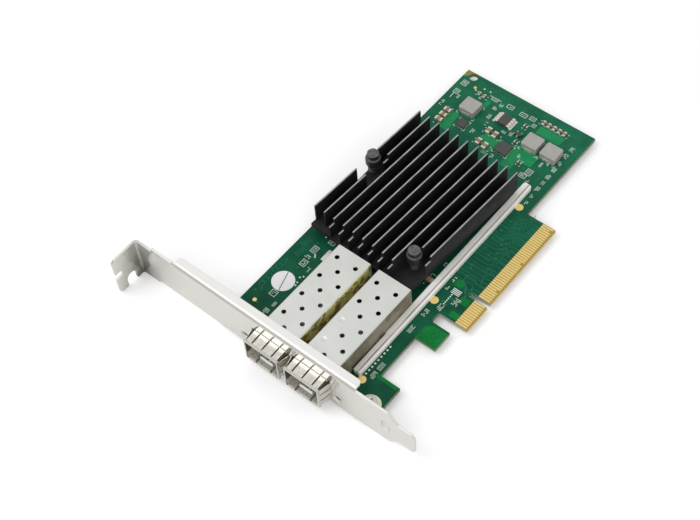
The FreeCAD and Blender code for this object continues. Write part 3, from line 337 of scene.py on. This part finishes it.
board_low, board_high = edges("circuit_board")
_, sink_high = edges("heat_sink")
_, contact_high = edges("edge_contacts_top")
bracket_low, bracket_high = edges("mounting_bracket")
bar_low, bar_high = edges("stiffener_bar")
light_low, light_high = edges("status_light_1")
cage_low, cage_high = edges("port_1_cage_cover")
LIGHT_HOLES = []
for number in (1, 2):
    low, high = edges("status_light_%d" % number)
    LIGHT_HOLES.append(((low.y + high.y) / 2, (low.z + high.z) / 2))
TAB_REACH = 11.43       # end of the screw tab to the outer face of the bracket
MOUTH_STEP = 0.2        # outer face of the bracket to where the collar starts to hide the cage and the painted shade under it begins
CORNER_DROP = 1.0       # top of the bracket to the middle of its corner of painted shade
STRIP_SHORT = 0.1       # top of the contacts to the edge of the bare strip
FIN_TIP_BAND = 2.7      # every fin tip lies in this band below the top of the sink
BAR_GROOVE = 1.1        # low side of the bar to the middle of its groove
GOLD_REFLECTION_DEPTH = 1.0        # the painted gold reflection on the wall over the gilded ground reaches this far in from the low side
FOLD_X = bracket_low.x + TAB_REACH
MOUTH_X = FOLD_X - MOUTH_STEP
bracket_metal = bracket_material(FOLD_X, bracket_high.y - CORNER_DROP, bracket_low.z, bracket_high.z,
                                 LIGHT_HOLES)
MATS = {
    "solder_mask": board_material(board_high, contact_high.y - STRIP_SHORT),
    "black_anodised": sink_material(sink_high.z - FIN_TIP_BAND),
    "cage_metal": cage_material("cage_metal", MOUTH_X),
    "contact_gold": plain("contact_gold", (0.98, 0.735, 0.28), 0.30, 0.85, 0.06, 0.4, soft=0.03),
    "nickel_plate": bracket_metal,
    "zinc_plate": plain("zinc_plate", (0.68, 0.67, 0.64), 0.26, 1.0, 0.06, 0.4),
    "chip_green": plain("chip_base", (0.012, 0.09, 0.05), 0.5),
    "chip_black": plain("chip_epoxy", (0.066, 0.068, 0.066), 0.45, 0.0, 0.15, 0.25, depth=0.010, shine=0.4),
    "pad_grey": plain("soft_pad", (0.42, 0.42, 0.45), 0.8, 0.0, 0.1, 0.8),
    "satin_bar": bar_material(bar_low.y + BAR_GROOVE, bar_low.y),
    "tin_plate": plain("tin_plate", (0.80, 0.775, 0.70), 0.32, 0.8, 0.08, 0.3, soft=0.05),
    "ceramic_brown": plain("fired_ceramic", (0.30, 0.18, 0.105), 0.5, 0.0, 0.2, 0.3, soft=0.06),
    "label_paper": plain("label_paper", (0.80, 0.79, 0.81), 0.55, 0.0, 0.03, 0.5, soft=0.03, shine=0.3),
    "collar_metal": plain("collar_metal", (0.67, 0.645, 0.585), 0.22, 0.85, 0.02, 1.2, depth=0.0005,
                          soft=0.08),
    "black_nylon": plain("black_nylon", (0.012, 0.012, 0.013), 0.5),
    "clear_lens": lens_material(light_low, light_high),
    "pin_plastic": pin_material(),
    "spring_steel": plain("spring_wire", (0.10, 0.10, 0.105), 0.35, 0.9),
    "ferrite_grey": plain("pressed_iron_powder", (0.400, 0.385, 0.360), 0.45, 0.15, 0.08, 0.25,
                          depth=0.015),
}
for row in frame["record"]["subparts"]:
    data = NODES[row["node"]].data
    data.materials.clear()
    data.materials.append(MATS[row["material_slot"]])
# painted reflection of the gilded ground on the cage wall over it
gap_wall = cage_material("cage_metal_with_painted_gold_reflection", MOUTH_X, cage_low.y + GOLD_REFLECTION_DEPTH)
NODES["port_1_cage_cover"].data.materials[0] = gap_wall
cage_floor = plain("cage_floor_sheet", (0.66, 0.63, 0.56), 0.30, 0.45, 0.03, 0.8, depth=0.001, soft=0.06)
for index in (1, 2):
    NODES["port_%d_cage_base" % index].data.materials[0] = cage_floor


# ---------------------------------------------------------------- mesh helpers
MITRE_LIMIT = 0.4       # keeps the mitre of a sharp bend short
RIM_OF_HEIGHT = 0.3     # rounding of a disc's rim, the smaller of these two shares
RIM_OF_RADIUS = 0.25
SHARP = 0.6             # radians; edges sharper than this are rounded


def ring_points(x, y, rings, steps):
    """Points of circles round x, y, one circle for each radius and height."""
    points = []
    for radius, z in rings:
        for k in range(steps):
            a = 2 * math.pi * k / steps
            points.append((x + radius * math.cos(a), y + radius * math.sin(a), z))
    return points


def ring_faces(count, steps, closed=False):
    """Four-sided faces between rings of points that follow each other."""
    faces = []
    for r in range(count if closed else count - 1):
        a, b = r * steps, ((r + 1) % count) * steps
        for k in range(steps):
            j = (k + 1) % steps
            faces.append((a + k, a + j, b + j, b + k))
    return faces


class Mesh:
    """Collects faces in millimetres and turns them into one piece."""

    def __init__(self):
        self.points = []
        self.faces = []

    def add(self, points, faces):
        start = len(self.points)
        self.points += points
        self.faces += [[start + i for i in face] for face in faces]

    def block(self, x0, x1, y0, y1, z0, z1):
        points = [(x, y, z) for z in (z0, z1) for y in (y0, y1) for x in (x0, x1)]
        self.add(points, [(0, 2, 3, 1), (4, 5, 7, 6), (0, 1, 5, 4), (2, 6, 7, 3), (0, 4, 6, 2), (1, 3, 7, 5)])

    def strip(self, route, width, z0, z1):
        """A flat track of one width along a route of x, y points, with mitred corners."""
        half = width / 2
        rails = []
        for i, (x, y) in enumerate(route):
            before = route[max(i - 1, 0)]
            after = route[min(i + 1, len(route) - 1)]
            d1 = Vector((x - before[0], y - before[1]))
            d2 = Vector((after[0] - x, after[1] - y))
            d1 = d1.normalized() if d1.length > 0 else d2.normalized()
            d2 = d2.normalized() if d2.length > 0 else d1
            middle = (d1 + d2).normalized() if (d1 + d2).length > 0.01 else d1
            side = Vector((-middle.y, middle.x)) * (half / max(MITRE_LIMIT, middle.dot(d1)))
            rails.append(((x + side.x, y + side.y), (x - side.x, y - side.y)))
        points = []
        for left, right in rails:
            points += [(*left, z0), (*right, z0), (*right, z1), (*left, z1)]
        last = 4 * (len(route) - 1)
        self.add(points, [(0, 3, 2, 1)] + ring_faces(len(route), 4) + [(last, last + 1, last + 2, last + 3)])

    def disc(self, x, y, outer, z0, z1, inner=0.0, steps=20):
        """A flat disc or ring with a small rounded rim."""
        rim = min(RIM_OF_HEIGHT * abs(z1 - z0), RIM_OF_RADIUS * outer)
        way = 1 if z1 > z0 else -1
        rings = [(outer, z0), (outer, z1 - way * rim), (outer - rim, z1), (inner, z1)]
        if inner > 0:
            rings.append((inner, z0))
        faces = ring_faces(len(rings), steps, inner > 0)
        if inner == 0:
            faces.append(tuple(range(steps))[::-1])
        self.add(ring_points(x, y, rings, steps), faces)

    def build(self, name, material, smooth=False, bevel=0.0):
        """Make the piece, which rides on the root body, with the given material."""
        mesh = bpy.data.meshes.new(name)
        mesh.from_pydata([Vector(p) * MM for p in self.points], [], self.faces)
        work = bmesh.new()
        work.from_mesh(mesh)
        bmesh.ops.remove_doubles(work, verts=work.verts, dist=1e-8)
        bmesh.ops.recalc_face_normals(work, faces=work.faces)
        if bevel:
            sharp = [e for e in work.edges if len(e.link_faces) == 2 and e.calc_face_angle(0) > SHARP]
            bmesh.ops.bevel(work, geom=sharp, offset=bevel * MM, segments=2, affect="EDGES", profile=0.6)
        work.to_mesh(mesh)
        work.free()
        piece = bpy.data.objects.new(name, mesh)
        bpy.context.scene.collection.objects.link(piece)
        mesh.materials.append(material)
        if smooth:
            mesh.shade_smooth()
        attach(piece, "root")
        return piece


TOP = board_high.z
BACK = board_low.z
LACQUER = 0.03          # thickness of the lacquered tracks
COPPER = 0.02           # of the broad areas
LAND = 0.12             # of the tinned land
INK = 0.04              # of the ink marks

# ---------------------------------------------------------------- tracks and areas of copper
track_mat = plain("lacquered_copper", (0.012, 0.160, 0.090), 0.34, 0.0, 0.10, 0.6, depth=0.004, soft=0.02,
                  shine=0.14)
pour_mat = plain("lacquered_copper_area", (0.008, 0.250, 0.085), 0.36, 0.0, 0.10, 1.5, depth=0.004, soft=0.02,
                 shine=0.22)
lug_mat = plain("lacquer_over_laminate", (0.002, 0.165, 0.032), 0.36, 0.0, 0.30, 0.8, depth=0.004, soft=0.02,
                shine=0.14)
ink_mat = plain("white_ink", (0.66, 0.72, 0.66), 0.6, 0.0, 0.05, 0.4, soft=0.02, shine=0.3)
via_mat = plain("lacquered_via", (0.030, 0.190, 0.105), 0.38, 0.0, 0.1, 0.3, soft=0.03, shine=0.25)
# painted shade: dark discs stand for the shaded holes of the vias
via_hole_painted_shade_mat = plain("painted_shade_via_hole", (0.012, 0.035, 0.022), 0.7, 0.0, 0.1, 0.3, soft=0.0)
line_mat = plain("dark_pen_line", (0.085, 0.080, 0.090), 0.6, 0.0, 0.1, 0.4, soft=0.0)
ground_mat = plain("gilded_ground", (0.62, 0.50, 0.13), 0.42, 0.3, 0.45, 0.4, depth=0.01, soft=0.02)


def side_span(side):
    """Height of copper on one side of the board."""
    return (TOP, TOP + LACQUER) if side > 0 else (BACK, BACK - LACQUER)


def tracks(side):
    """Tracks from the contacts to the controller and on to the ports, with 45 degree bends."""
    made = Mesh()
    z0, z1 = side_span(side)
    for k in range(19):
        x = 2.5 + 2 * k
        turn = 6.5 + 0.32 * (k % 4)
        shift = (8.0 - x) * 0.18
        made.strip([(x, 5.4), (x, turn + 2), (x + shift, turn + 2 + abs(shift)), (x + shift, 16.0 + (k % 3))],
                   0.22, z0, z1)
        if k % 3 == 1:
            made.strip([(x + 0.45, 5.4), (x + 0.45, turn + 2.2), (x + 0.45 + shift, turn + 2.2 + abs(shift)),
                        (x + 0.45 + shift, 16.3 + (k % 3))], 0.2, z0, z1)
    for k in range(6):
        made.strip([(4.0 + 5.6 * k, 7.0 + 0.5 * (k % 3)), (8.6 + 5.6 * k, 8.2 + 0.9 * (k % 2)),
                    (12.4 + 5.6 * k, 8.2 + 0.9 * (k % 2))], 0.24, z0, z1)
    for k in range(5):
        x = -1.6 + 0.7 * k
        made.strip([(x, 5.4), (x, 8.6 + 0.4 * k), (x + 1.4, 10.0 + 0.4 * k), (x + 1.4, 11.0 + 0.4 * k)],
                   0.2, z0, z1)
    for k in range(3):
        y = 64.0 + 0.8 * k
        made.strip([(-17.4, 61.9 + 0.9 * k), (-17.4 + 0.3 * k, y + 0.4), (-18.2, y + 1.6), (-19.0, y + 1.6)],
                   0.24, z0, z1)
    for k in range(4):
        y = 62.6 + 0.62 * k
        made.strip([(-24.4 + 0.7 * k, y), (-23.2, y + 1.6), (-20.0 - 0.5 * k, y + 1.6), (-18.9, y + 0.8)],
                   0.2, z0, z1)
    for k in range(5):
        made.strip([(50.5, 30.5 + 1.1 * k), (53.6, 30.5 + 1.1 * k), (54.6, 31.5 + 1.1 * k)], 0.25, z0, z1)
    for k in range(6):
        x0 = -40.2 + 2.05 * k
        gap = 0.9 if k > 2 else 0.0
        made.strip([(x0 + gap, 66.0), (x0 + gap + 1.7, 66.0), (x0 + gap + 1.7, 67.7), (x0 + gap, 67.7),
                    (x0 + gap, 65.9)], 0.16, z0, z1)
    return made.build("tracks_top" if side > 0 else "tracks_back", track_mat)


def area(made, points, z0, z1):
    """A flat area with any outline."""
    count = len(points)
    made.add([(x, y, z0) for x, y in points] + [(x, y, z1) for x, y in points],
             [tuple(range(count))[::-1], tuple(range(count, 2 * count))]
             + [(k, (k + 1) % count, count + (k + 1) % count, count + k) for k in range(count)])


def pours():
    """Broad lacquered copper areas round the power parts."""
    z0, z1 = TOP, TOP + COPPER
    bright = Mesh()
    for points in (
        [(52.6, 57.4), (56.0, 57.4), (56.0, 58.0), (61.6, 58.0), (61.6, 61.4), (53.6, 61.4), (52.6, 60.4)],
        [(71.0, 21.0), (74.9, 20.4), (74.9, 31.0), (71.0, 31.0)],
        [(51.2, 28.6), (56.6, 28.6), (56.6, 23.2), (62.6, 23.2), (62.6, 33.0), (51.2, 33.0)],
        [(53.6, 38.9), (60.6, 38.9), (60.6, 44.0), (58.2, 46.2), (53.0, 42.4)],
        [(69.6, 52.4), (73.4, 52.4), (73.4, 54.2), (69.6, 54.2)],
    ):
        area(bright, points, z0, z1)
    bright.build("copper_areas_top", pour_mat)
    lug = Mesh()
    for points in (
        [(-24.6, 4.0), (-17.2, 4.0), (-17.2, 10.0), (-19.4, 12.2), (-24.6, 12.2)],
        [(-0.2, 11.4), (3.0, 11.4), (3.0, 14.6), (-0.2, 14.6)],
        [(-5.0, 5.8), (-2.2, 5.8), (-2.2, 9.2), (-5.0, 9.2)],
        [(-11.1, 5.3), (-8.8, 5.3), (-8.8, 8.6), (-11.1, 8.6)],
        [(-44.3, 4.4), (-43.0, 4.4), (-43.0, 12.6), (-44.3, 12.6)],
    ):
        area(lug, points, z0, z1)
    lug.build("lacquered_lugs_top", lug_mat)
    ground = Mesh()
    area(ground, [(-57.1, 34.6), (-16.4, 34.6), (-16.4, 37.1), (-57.1, 37.1)], z0, z1)
    area(ground, [(-57.1, 17.6), (-48.6, 17.6), (-48.6, 19.9), (-57.1, 19.9)], z0, z1)
    ground.build("bare_ground_top", ground_mat)
    land = Mesh()
    area(land, [(-19.6, 55.9), (-14.6, 55.9), (-14.6, 57.3), (-19.6, 57.3)], z0, TOP + LAND)
    land.build("tinned_land_top", MATS["tin_plate"])


OCCUPIED = []
MARGIN = 0.8            # free ground round each part
for node in ("power_inductor_1", "power_inductor_2", "power_inductor_3", "regulator_1", "regulator_2",
             "memory_chip", "transistor", "inspection_label", "port_1_cage_cover", "port_2_cage_cover",
             "status_light_1", "status_light_2"):
    low, high = edges(node)
    OCCUPIED.append((low.x - MARGIN, high.x + MARGIN, low.y - MARGIN, high.y + MARGIN))
# ground round the two bracket screws
OCCUPIED.append((-57.6, -49.3, 3.9, 12.0))
OCCUPIED.append((-57.6, -49.3, 59.3, 67.6))
TOOLING_HOLE = (2.0, 3.9)   # the board's far end and top edge to the middle of the hole
HOLE_SPOTS = [(board_high.x - TOOLING_HOLE[0], board_high.y - TOOLING_HOLE[1])]
for number in (1, 2):
    pin = middle_of("push_pin_%d" % number)
    HOLE_SPOTS.append((pin.x, pin.y))
HOLE_CLEAR = 3.0        # no mark nearer than this to the middle of a hole


def free_spot(x, y, side):
    """Whether a mark fits at this place."""
    if side > 0:
        for x0, x1, y0, y1 in OCCUPIED:
            if x0 < x < x1 and y0 < y < y1:
                return False
    for px, py in HOLE_SPOTS:
        if (x - px) ** 2 + (y - py) ** 2 < HOLE_CLEAR ** 2:
            return False
    # below the lower edge there is only the tongue, the lug and the guide tab
    if y < 12.8 and not (-11.4 < x < 38.4 or -56 < x < -43.8 or -23.6 < x < -17.2):
        return False
    return 5.8 < y < 68.0


VIA_RADIUS = 0.32
VIA_HOLE = 0.15
VIA_RISE = 1.3          # heights as shares of the lacquer
HOLE_RISE = 0.7
BACK_VIAS = 240         # places tried on the solder side, under the cages and the controller


def vias(side):
    """Small lacquered plated holes scattered over free ground."""
    made = Mesh()
    holes = Mesh()
    z0, z1 = side_span(side)
    spots = []
    for x0, x1, y0, y1, count in (
        (49.5, 80.0, 17.2, 66.0, 60), (-56.0, -14.0, 53.5, 67.0, 22), (-12.0, 38.0, 7.0, 15.8, 34),
        (39.5, 50.0, 17.0, 66.0, 12),
    ):
        for _ in range(count):
            spots.append((rng.uniform(x0, x1), rng.uniform(y0, y1)))
    if side < 0:
        spots += [(rng.uniform(-50, 45), rng.uniform(20, 66)) for _ in range(BACK_VIAS)]
    for x, y in spots:
        if free_spot(x, y, side):
            made.disc(x, y, VIA_RADIUS, z0, z0 + (z1 - z0) * VIA_RISE, VIA_HOLE - 0.01, 10)
            # painted shade: a dark disc in the middle of each via
            holes.disc(x, y, VIA_HOLE, z0, z0 + (z1 - z0) * HOLE_RISE, 0.0, 8)
    name = "top" if side > 0 else "back"
    made.build("vias_" + name, via_mat)
    holes.build("via_holes_" + name, via_hole_painted_shade_mat)


# ---------------------------------------------------------------- white ink marks, no lettering
def outline_marks(made, x0, x1, y0, y1, z0, z1, gap=0.0, w=0.2):
    """A thin rectangle, or only its corners when gap is given."""
    if gap:
        for x, sx in ((x0, 1), (x1, -1)):
            for y, sy in ((y0, 1), (y1, -1)):
                made.strip([(x, y + sy * gap), (x, y), (x + sx * gap, y)], w, z0, z1)
    else:
        made.strip([(x0, y0), (x1, y0), (x1, y1), (x0, y1), (x0, y0 - w / 2)], w, z0, z1)


DAB_CELL = 0.62
DAB_HALF = (0.14, 0.21)
DAB_LEFT_OUT = 0.12     # share of the cells without a dab
TAG_FRAME = 0.4         # frame to the first cell


def tag(made, x, y, wide, tall, z0, z1, framed=True):
    """A cluster of small separate dabs, no letters, where a part's printed reference would be."""
    x0, y0 = x - wide / 2, y - tall / 2
    if framed:
        outline_marks(made, x0, x0 + wide, y0, y0 + tall, z0, z1)
        x0, y0, wide, tall = x0 + TAG_FRAME, y0 + TAG_FRAME, wide - 2 * TAG_FRAME, tall - 2 * TAG_FRAME
    columns = max(1, round(wide / DAB_CELL))
    rows = max(1, round(tall / DAB_CELL))
    for i in range(columns):
        for j in range(rows):
            if rng.random() < DAB_LEFT_OUT:
                continue
            cx = x0 + wide * (i + 0.5) / columns
            cy = y0 + tall * (j + 0.5) / rows
            half_x = rng.uniform(*DAB_HALF)
            half_y = rng.uniform(*DAB_HALF)
            made.block(cx - half_x, cx + half_x, cy - half_y, cy + half_y, z0, z1)


END_CAP = 0.24          # share of a small part's length under each tinned end


def smalls():
    """Places and sizes of the small ceramic parts with their tinned ends, from their own solids."""
    found = []
    for node in ("capacitor_bodies", "resistor_bodies"):
        data = NODES[node].data
        work = bmesh.new()
        work.from_mesh(data)
        bmesh.ops.remove_doubles(work, verts=work.verts, dist=1e-7)
        left = set(work.verts)
        while left:
            stack = [left.pop()]
            island = [stack[0]]
            while stack:
                for e in stack.pop().link_edges:
                    for v in e.verts:
                        if v in left:
                            left.remove(v)
                            stack.append(v)
                            island.append(v)
            xs = [v.co.x / MM for v in island]
            ys = [v.co.y / MM for v in island]
            sx, sy = max(xs) - min(xs), max(ys) - min(ys)
            grow = 1.0 / (1 - 2 * END_CAP)
            if sx / grow > sy * 0.5 and sx * grow > sy:
                sx *= grow
            elif sy * grow > sx:
                sy *= grow
            found.append(((max(xs) + min(xs)) / 2, (max(ys) + min(ys)) / 2, sx, sy))
        work.free()
    return found


def ink_top():
    """Outlines, clusters of dabs and small blocks on the component side."""
    made = Mesh()
    z0, z1 = TOP, TOP + INK
    off = 0.55
    for node in ("power_inductor_1", "power_inductor_2", "power_inductor_3", "regulator_1", "regulator_2"):
        low, high = edges(node)
        outline_marks(made, low.x - off, high.x + off, low.y - off, high.y + off, z0, z1, 0.9)
    for x, y, wide, tall in (
        (75.3, 66.0, 2.4, 2.2), (70.2, 66.0, 2.2, 2.0), (62.6, 67.2, 3.0, 1.3),
        (72.3, 15.8, 2.2, 1.7), (68.5, 15.9, 2.2, 1.7), (64.4, 15.7, 2.0, 1.6), (60.8, 15.7, 2.2, 1.7),
        (57.0, 15.6, 2.2, 1.7), (53.6, 15.5, 2.0, 1.5), (50.2, 15.5, 2.4, 1.6), (46.4, 15.3, 1.8, 1.3),
        (42.8, 15.1, 1.7, 1.2),
        (75.7, 45.3, 1.7, 2.6), (75.4, 39.2, 1.7, 2.8), (75.9, 35.4, 1.6, 2.2), (73.4, 33.2, 2.0, 2.0),
        (74.3, 48.5, 1.6, 1.6), (72.6, 57.0, 1.2, 1.2), (71.8, 49.6, 1.6, 1.8), (75.3, 52.0, 1.4, 2.6),
        (67.4, 49.0, 2.4, 1.5), (63.9, 47.9, 2.0, 1.3), (64.4, 40.4, 1.2, 2.0), (65.4, 37.6, 2.4, 1.4),
        (58.0, 49.8, 2.2, 1.5), (52.4, 40.8, 1.4, 2.0), (52.6, 37.3, 2.2, 1.4), (54.6, 22.2, 2.6, 2.2),
        (60.0, 20.8, 2.2, 1.0), (61.6, 19.0, 1.6, 1.0), (52.0, 23.2, 1.8, 2.6), (68.4, 64.0, 2.0, 1.1),
        (58.6, 29.3, 1.8, 1.2), (48.4, 46.0, 1.3, 2.0), (50.8, 20.4, 1.8, 1.2),
        (-47.2, 58.3, 3.0, 2.2), (-43.2, 57.8, 2.2, 1.2), (-39.9, 61.0, 2.3, 2.3), (-24.2, 60.9, 2.6, 2.1),
        (-21.3, 61.6, 1.5, 2.2), (-17.6, 61.5, 2.8, 2.0), (-25.5, 57.9, 2.2, 1.4), (-11.3, 58.5, 2.6, 2.4),
        (-9.8, 56.4, 1.5, 1.3), (-10.2, 12.6, 2.8, 2.0), (-5.4, 9.6, 3.2, 2.4), (-14.9, 15.3, 3.2, 1.7),
        (-22.9, 15.1, 3.4, 1.7), (-40.2, 13.9, 3.2, 1.9), (-44.2, 13.9, 3.0, 1.9), (4.7, 21.5, 1.8, 1.6),
        (-2.4, 15.5, 1.8, 1.2), (1.6, 15.6, 2.4, 1.0),
    ):
        # about half of the larger clusters above the connector have a frame
        framed = y > 20 and wide * tall > 3.4 and x * 10 % 3 < 1.5
        tag(made, x, y, wide, tall, z0, z1, framed)
    made.strip([(66.4, 66.4), (69.0, 66.4)], 0.25, z0, z1)
    made.strip([(75.9, 49.6), (75.9, 54.6)], 0.22, z0, z1)
    outline_marks(made, -4.2, -0.9, 19.9, 23.0, z0, z1)
    for k in range(4):
        made.block(-3.2 + 0.62 * k, -2.85 + 0.62 * k, 10.2, 13.6, z0, z1)
    for k in range(6):
        made.block(-8.6 + 0.9 * k, -8.1 + 0.9 * k, 12.3, 12.8, z0, z1)
    for k in range(9):
        made.block(-45.6 + 1.6 * k, -44.9 + 1.6 * k, 15.9, 16.5, z0, z1)
    for x, y in ((-28.6, 57.2), (-29.6, 58.0), (-31.7, 57.4), (-33.0, 57.1), (-20.0, 59.4), (-19.3, 59.9),
                 (-11.2, 61.7), (-10.6, 62.4), (-10.6, 61.0), (74.9, 60.6), (77.2, 58.2), (77.3, 55.6)):
        made.block(x - 0.3, x + 0.3, y - 0.3, y + 0.3, z0, z1)
    for x, y, sx, sy in smalls():
        half_x, half_y = sx / 2 + 0.4, sy / 2 + 0.4
        outline_marks(made, x - half_x, x + half_x, y - half_y, y + half_y, z0, z1, 0.45, 0.16)
    return made.build("ink_marks_top", ink_mat)


def label_line():
    """One slanted pen line across the round label."""
    _, high = edges("inspection_label")
    middle = middle_of("inspection_label")
    made = Mesh()
    made.strip([(middle.x - 3.75, middle.y - 1.25), (middle.x + 3.8, middle.y + 0.95)], 0.3, high.z,
               high.z + 0.03)
    return made.build("label_pen_line", line_mat)


def ink_back():
    """Outlines and clusters of dabs on the solder side."""
    made = Mesh()
    z0, z1 = BACK, BACK - INK
    outline_marks(made, -5.0, 21.0, 33.6, 59.6, z0, z1, 4.0)
    outline_marks(made, 52.0, 76.0, 16.0, 32.0, z0, z1, 3.0)
    outline_marks(made, -56.0, -16.0, 19.5, 52.0, z0, z1, 3.0)
    for x, y, wide, tall in (
        (-10, 62, 3.4, 2.0), (26, 50, 1.8, 3.2), (26, 38, 1.8, 3.2), (40, 60, 4.6, 2.0), (50, 36, 3.0, 1.8),
        (60, 47, 3.2, 1.8), (70, 36, 1.8, 3.0), (-48, 58, 3.6, 2.0), (-30, 14.4, 3.6, 1.8), (5, 14, 3.4, 1.8),
        (30, 26, 3.0, 1.8), (44, 16.4, 1.8, 2.6),
    ):
        tag(made, x, y, wide, tall, z0, z1)
    return made.build("ink_marks_back", ink_mat)


tracks(1)
tracks(-1)
pours()
vias(1)
vias(-1)
ink_top()
label_line()
ink_back()


# ---------------------------------------------------------------- solder where pins come through the board
PIN_ROWS = (3.6, 20.0, 37.0)    # back end of a cage to each pair of its pins
PIN_SIDE = 6.85                 # middle of a cage to the pins on each side
PEG_INSET = 3.3                 # each end of the bar to its outer peg
PIN_SOLDER = 1.0                # radii of the solder
PEG_SOLDER = 1.6
CONE = ((1.0, 0.0), (0.72, 0.16), (0.5, 0.36), (0.36, 0.5))     # share of the radius, drop


def solder():
    """Small cones of solder round every pin and peg on the solder side."""
    made = Mesh()
    spots = []
    for number in (1, 2):
        middle = middle_of("port_%d_cage_cover" % number)
        for back_off in PIN_ROWS:
            for way in (-1, 1):
                spots.append((cage_high.x - back_off, middle.y + way * PIN_SIDE, PIN_SOLDER))
    middle = middle_of("stiffener_bar")
    for x in (bar_low.x + PEG_INSET, middle.x, bar_high.x - PEG_INSET):
        spots.append((x, middle.y, PEG_SOLDER))
    steps = 18
    for x, y, radius in spots:
        rings = [(radius * share, BACK - drop) for share, drop in CONE]
        faces = ring_faces(len(rings), steps)
        faces.append(tuple(range(steps))[::-1])
        faces.append(tuple((len(rings) - 1) * steps + k for k in range(steps)))
        made.add(ring_points(x, y, rings, steps), faces)
    return made.build("pin_solder", MATS["tin_plate"], smooth=True)


solder()


# ---------------------------------------------------------------- coil springs
def coil(index):
    """Wire wound round the push pin between its collar and the heat sink."""
    node = "pin_spring_%d" % index
    low, high = edges(node)
    x, y = (low.x + high.x) / 2, (low.y + high.y) / 2
    wire = 0.21
    radius = (high.x - low.x) / 2 - wire
    turns, per_turn, around = 4.5, 28, 8
    closed = 0.08
    z0, z1 = low.z + wire, high.z - wire
    total = int(turns * per_turn)
    made = Mesh()
    points = []
    for k in range(total + 1):
        a = 2 * math.pi * k / per_turn
        ease = min(1.0, max(0.0, (k / total - closed) / (1 - 2 * closed)))
        z = z0 + (z1 - z0) * ease
        for m in range(around):
            b = 2 * math.pi * m / around
            r = radius + wire * math.cos(b)
            points.append((x + r * math.cos(a), y + r * math.sin(a), z + wire * math.sin(b)))
    faces = ring_faces(total + 1, around)
    faces.append(tuple(range(around)))
    faces.append(tuple(total * around + m for m in range(around))[::-1])
    made.add(points, faces)
    piece = made.build("coil_spring_%d" % index, MATS["spring_steel"], smooth=True)
    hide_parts(node)


coil(1)
coil(2)


# ---------------------------------------------------------------- bent latch ridges on the cage floors
# painted highlight: the latch ridges are painted paler than the cage floor sheet they belong to
ridge_painted_highlight_mat = plain("painted_highlight_bent_sheet", (0.90, 0.885, 0.83), 0.30, 0.25, 0.02, 0.8, depth=0.0005, soft=0.05)


def latch_ridge(index):
    """The bent ridge of the latch tongue, just inside the mouth of a cage."""
    low, high = edges("port_%d_cage_base" % index)
    middle = (low.y + high.y) / 2 + 0.4
    half = 2.7
    made = Mesh()
    points = []
    for y in (middle - half, middle + half):
        for x, z in ((1.75, 0.28), (2.15, 0.95), (2.55, 0.95), (2.85, 0.28)):
            points.append((low.x + x, y, low.z + z))
    made.add(points, [(0, 1, 2, 3), (4, 7, 6, 5), (0, 4, 5, 1), (1, 5, 6, 2), (2, 6, 7, 3), (3, 7, 4, 0)])
    return made.build("latch_ridge_%d" % index, ridge_painted_highlight_mat, bevel=0.06)


latch_ridge(1)
latch_ridge(2)

# ---------------------------------------------------------------- floor, light and camera
FLOOR_HALF = 4.0        # metres
FLOOR_GLOW = 0.17       # seen by the camera only
WORLD_LIGHT = 0.72
CAMERA_LENS = 71.095
CAMERA_PLACE = (-210.911, -139.963, 390.376)
CAMERA_TURN = (0.6094764, 0.05341734, -0.88344838)

floor_data = bpy.data.meshes.new("floor")
floor_signs = ((-1, -1), (1, -1), (1, 1), (-1, 1))
floor_data.from_pydata([(x * FLOOR_HALF, y * FLOOR_HALF, cad_box[0].z) for x, y in floor_signs], [],
                       [(0, 1, 2, 3)])
floor = bpy.data.objects.new("floor", floor_data)
bpy.context.scene.collection.objects.link(floor)
floor_mat = plain("pale_floor", (0.90, 0.90, 0.905), 0.85, 0.0, 0.01, 30.0, depth=0.0, soft=0.0, shine=0.2)
path = floor_mat.node_tree.nodes.new("ShaderNodeLightPath")
seen = floor_mat.node_tree.nodes.new("ShaderNodeMath")
seen.operation = "MULTIPLY"
floor_mat.node_tree.links.new(path.outputs["Is Camera Ray"], seen.inputs[0])
seen.inputs[1].default_value = FLOOR_GLOW
floor_shader = floor_mat.node_tree.nodes["Principled BSDF"]
floor_shader.inputs["Emission Color"].default_value = (1, 1, 1, 1)
floor_mat.node_tree.links.new(seen.outputs[0], floor_shader.inputs["Emission Strength"])
floor_data.materials.append(floor_mat)

world = bpy.data.worlds.new("studio")
bpy.context.scene.world = world
world.use_nodes = True
background = world.node_tree.nodes["Background"]
background.inputs["Color"].default_value = (1.0, 1.0, 1.0, 1)
background.inputs["Strength"].default_value = WORLD_LIGHT


def area_light(name, place, aim, size, power):
    """A soft square lamp; place and aim in millimetres."""
    lamp = bpy.data.lights.new(name, "AREA")
    lamp.shape = "SQUARE"
    lamp.size = size * MM
    lamp.energy = power
    made = bpy.data.objects.new(name, lamp)
    bpy.context.scene.collection.objects.link(made)
    made.location = Vector(place) * MM
    made.rotation_euler = (Vector(aim) - Vector(place)).to_track_quat("-Z", "Y").to_euler()


CARD_MIDDLE = (10, 40, 0)
area_light("key", (-250, 330, 620), CARD_MIDDLE, 480, 1.6)
area_light("front_fill", (-420, -330, 330), CARD_MIDDLE, 360, 0.7)

camera_data = bpy.data.cameras.new("camera")
camera_data.sensor_width = 36.0
camera_data.lens = CAMERA_LENS
camera = bpy.data.objects.new("camera", camera_data)
bpy.context.scene.collection.objects.link(camera)
camera.location = Vector(CAMERA_PLACE) * MM
camera.rotation_euler = CAMERA_TURN
bpy.context.scene.camera = camera
bpy.context.scene.view_settings.view_transform = "Standard"
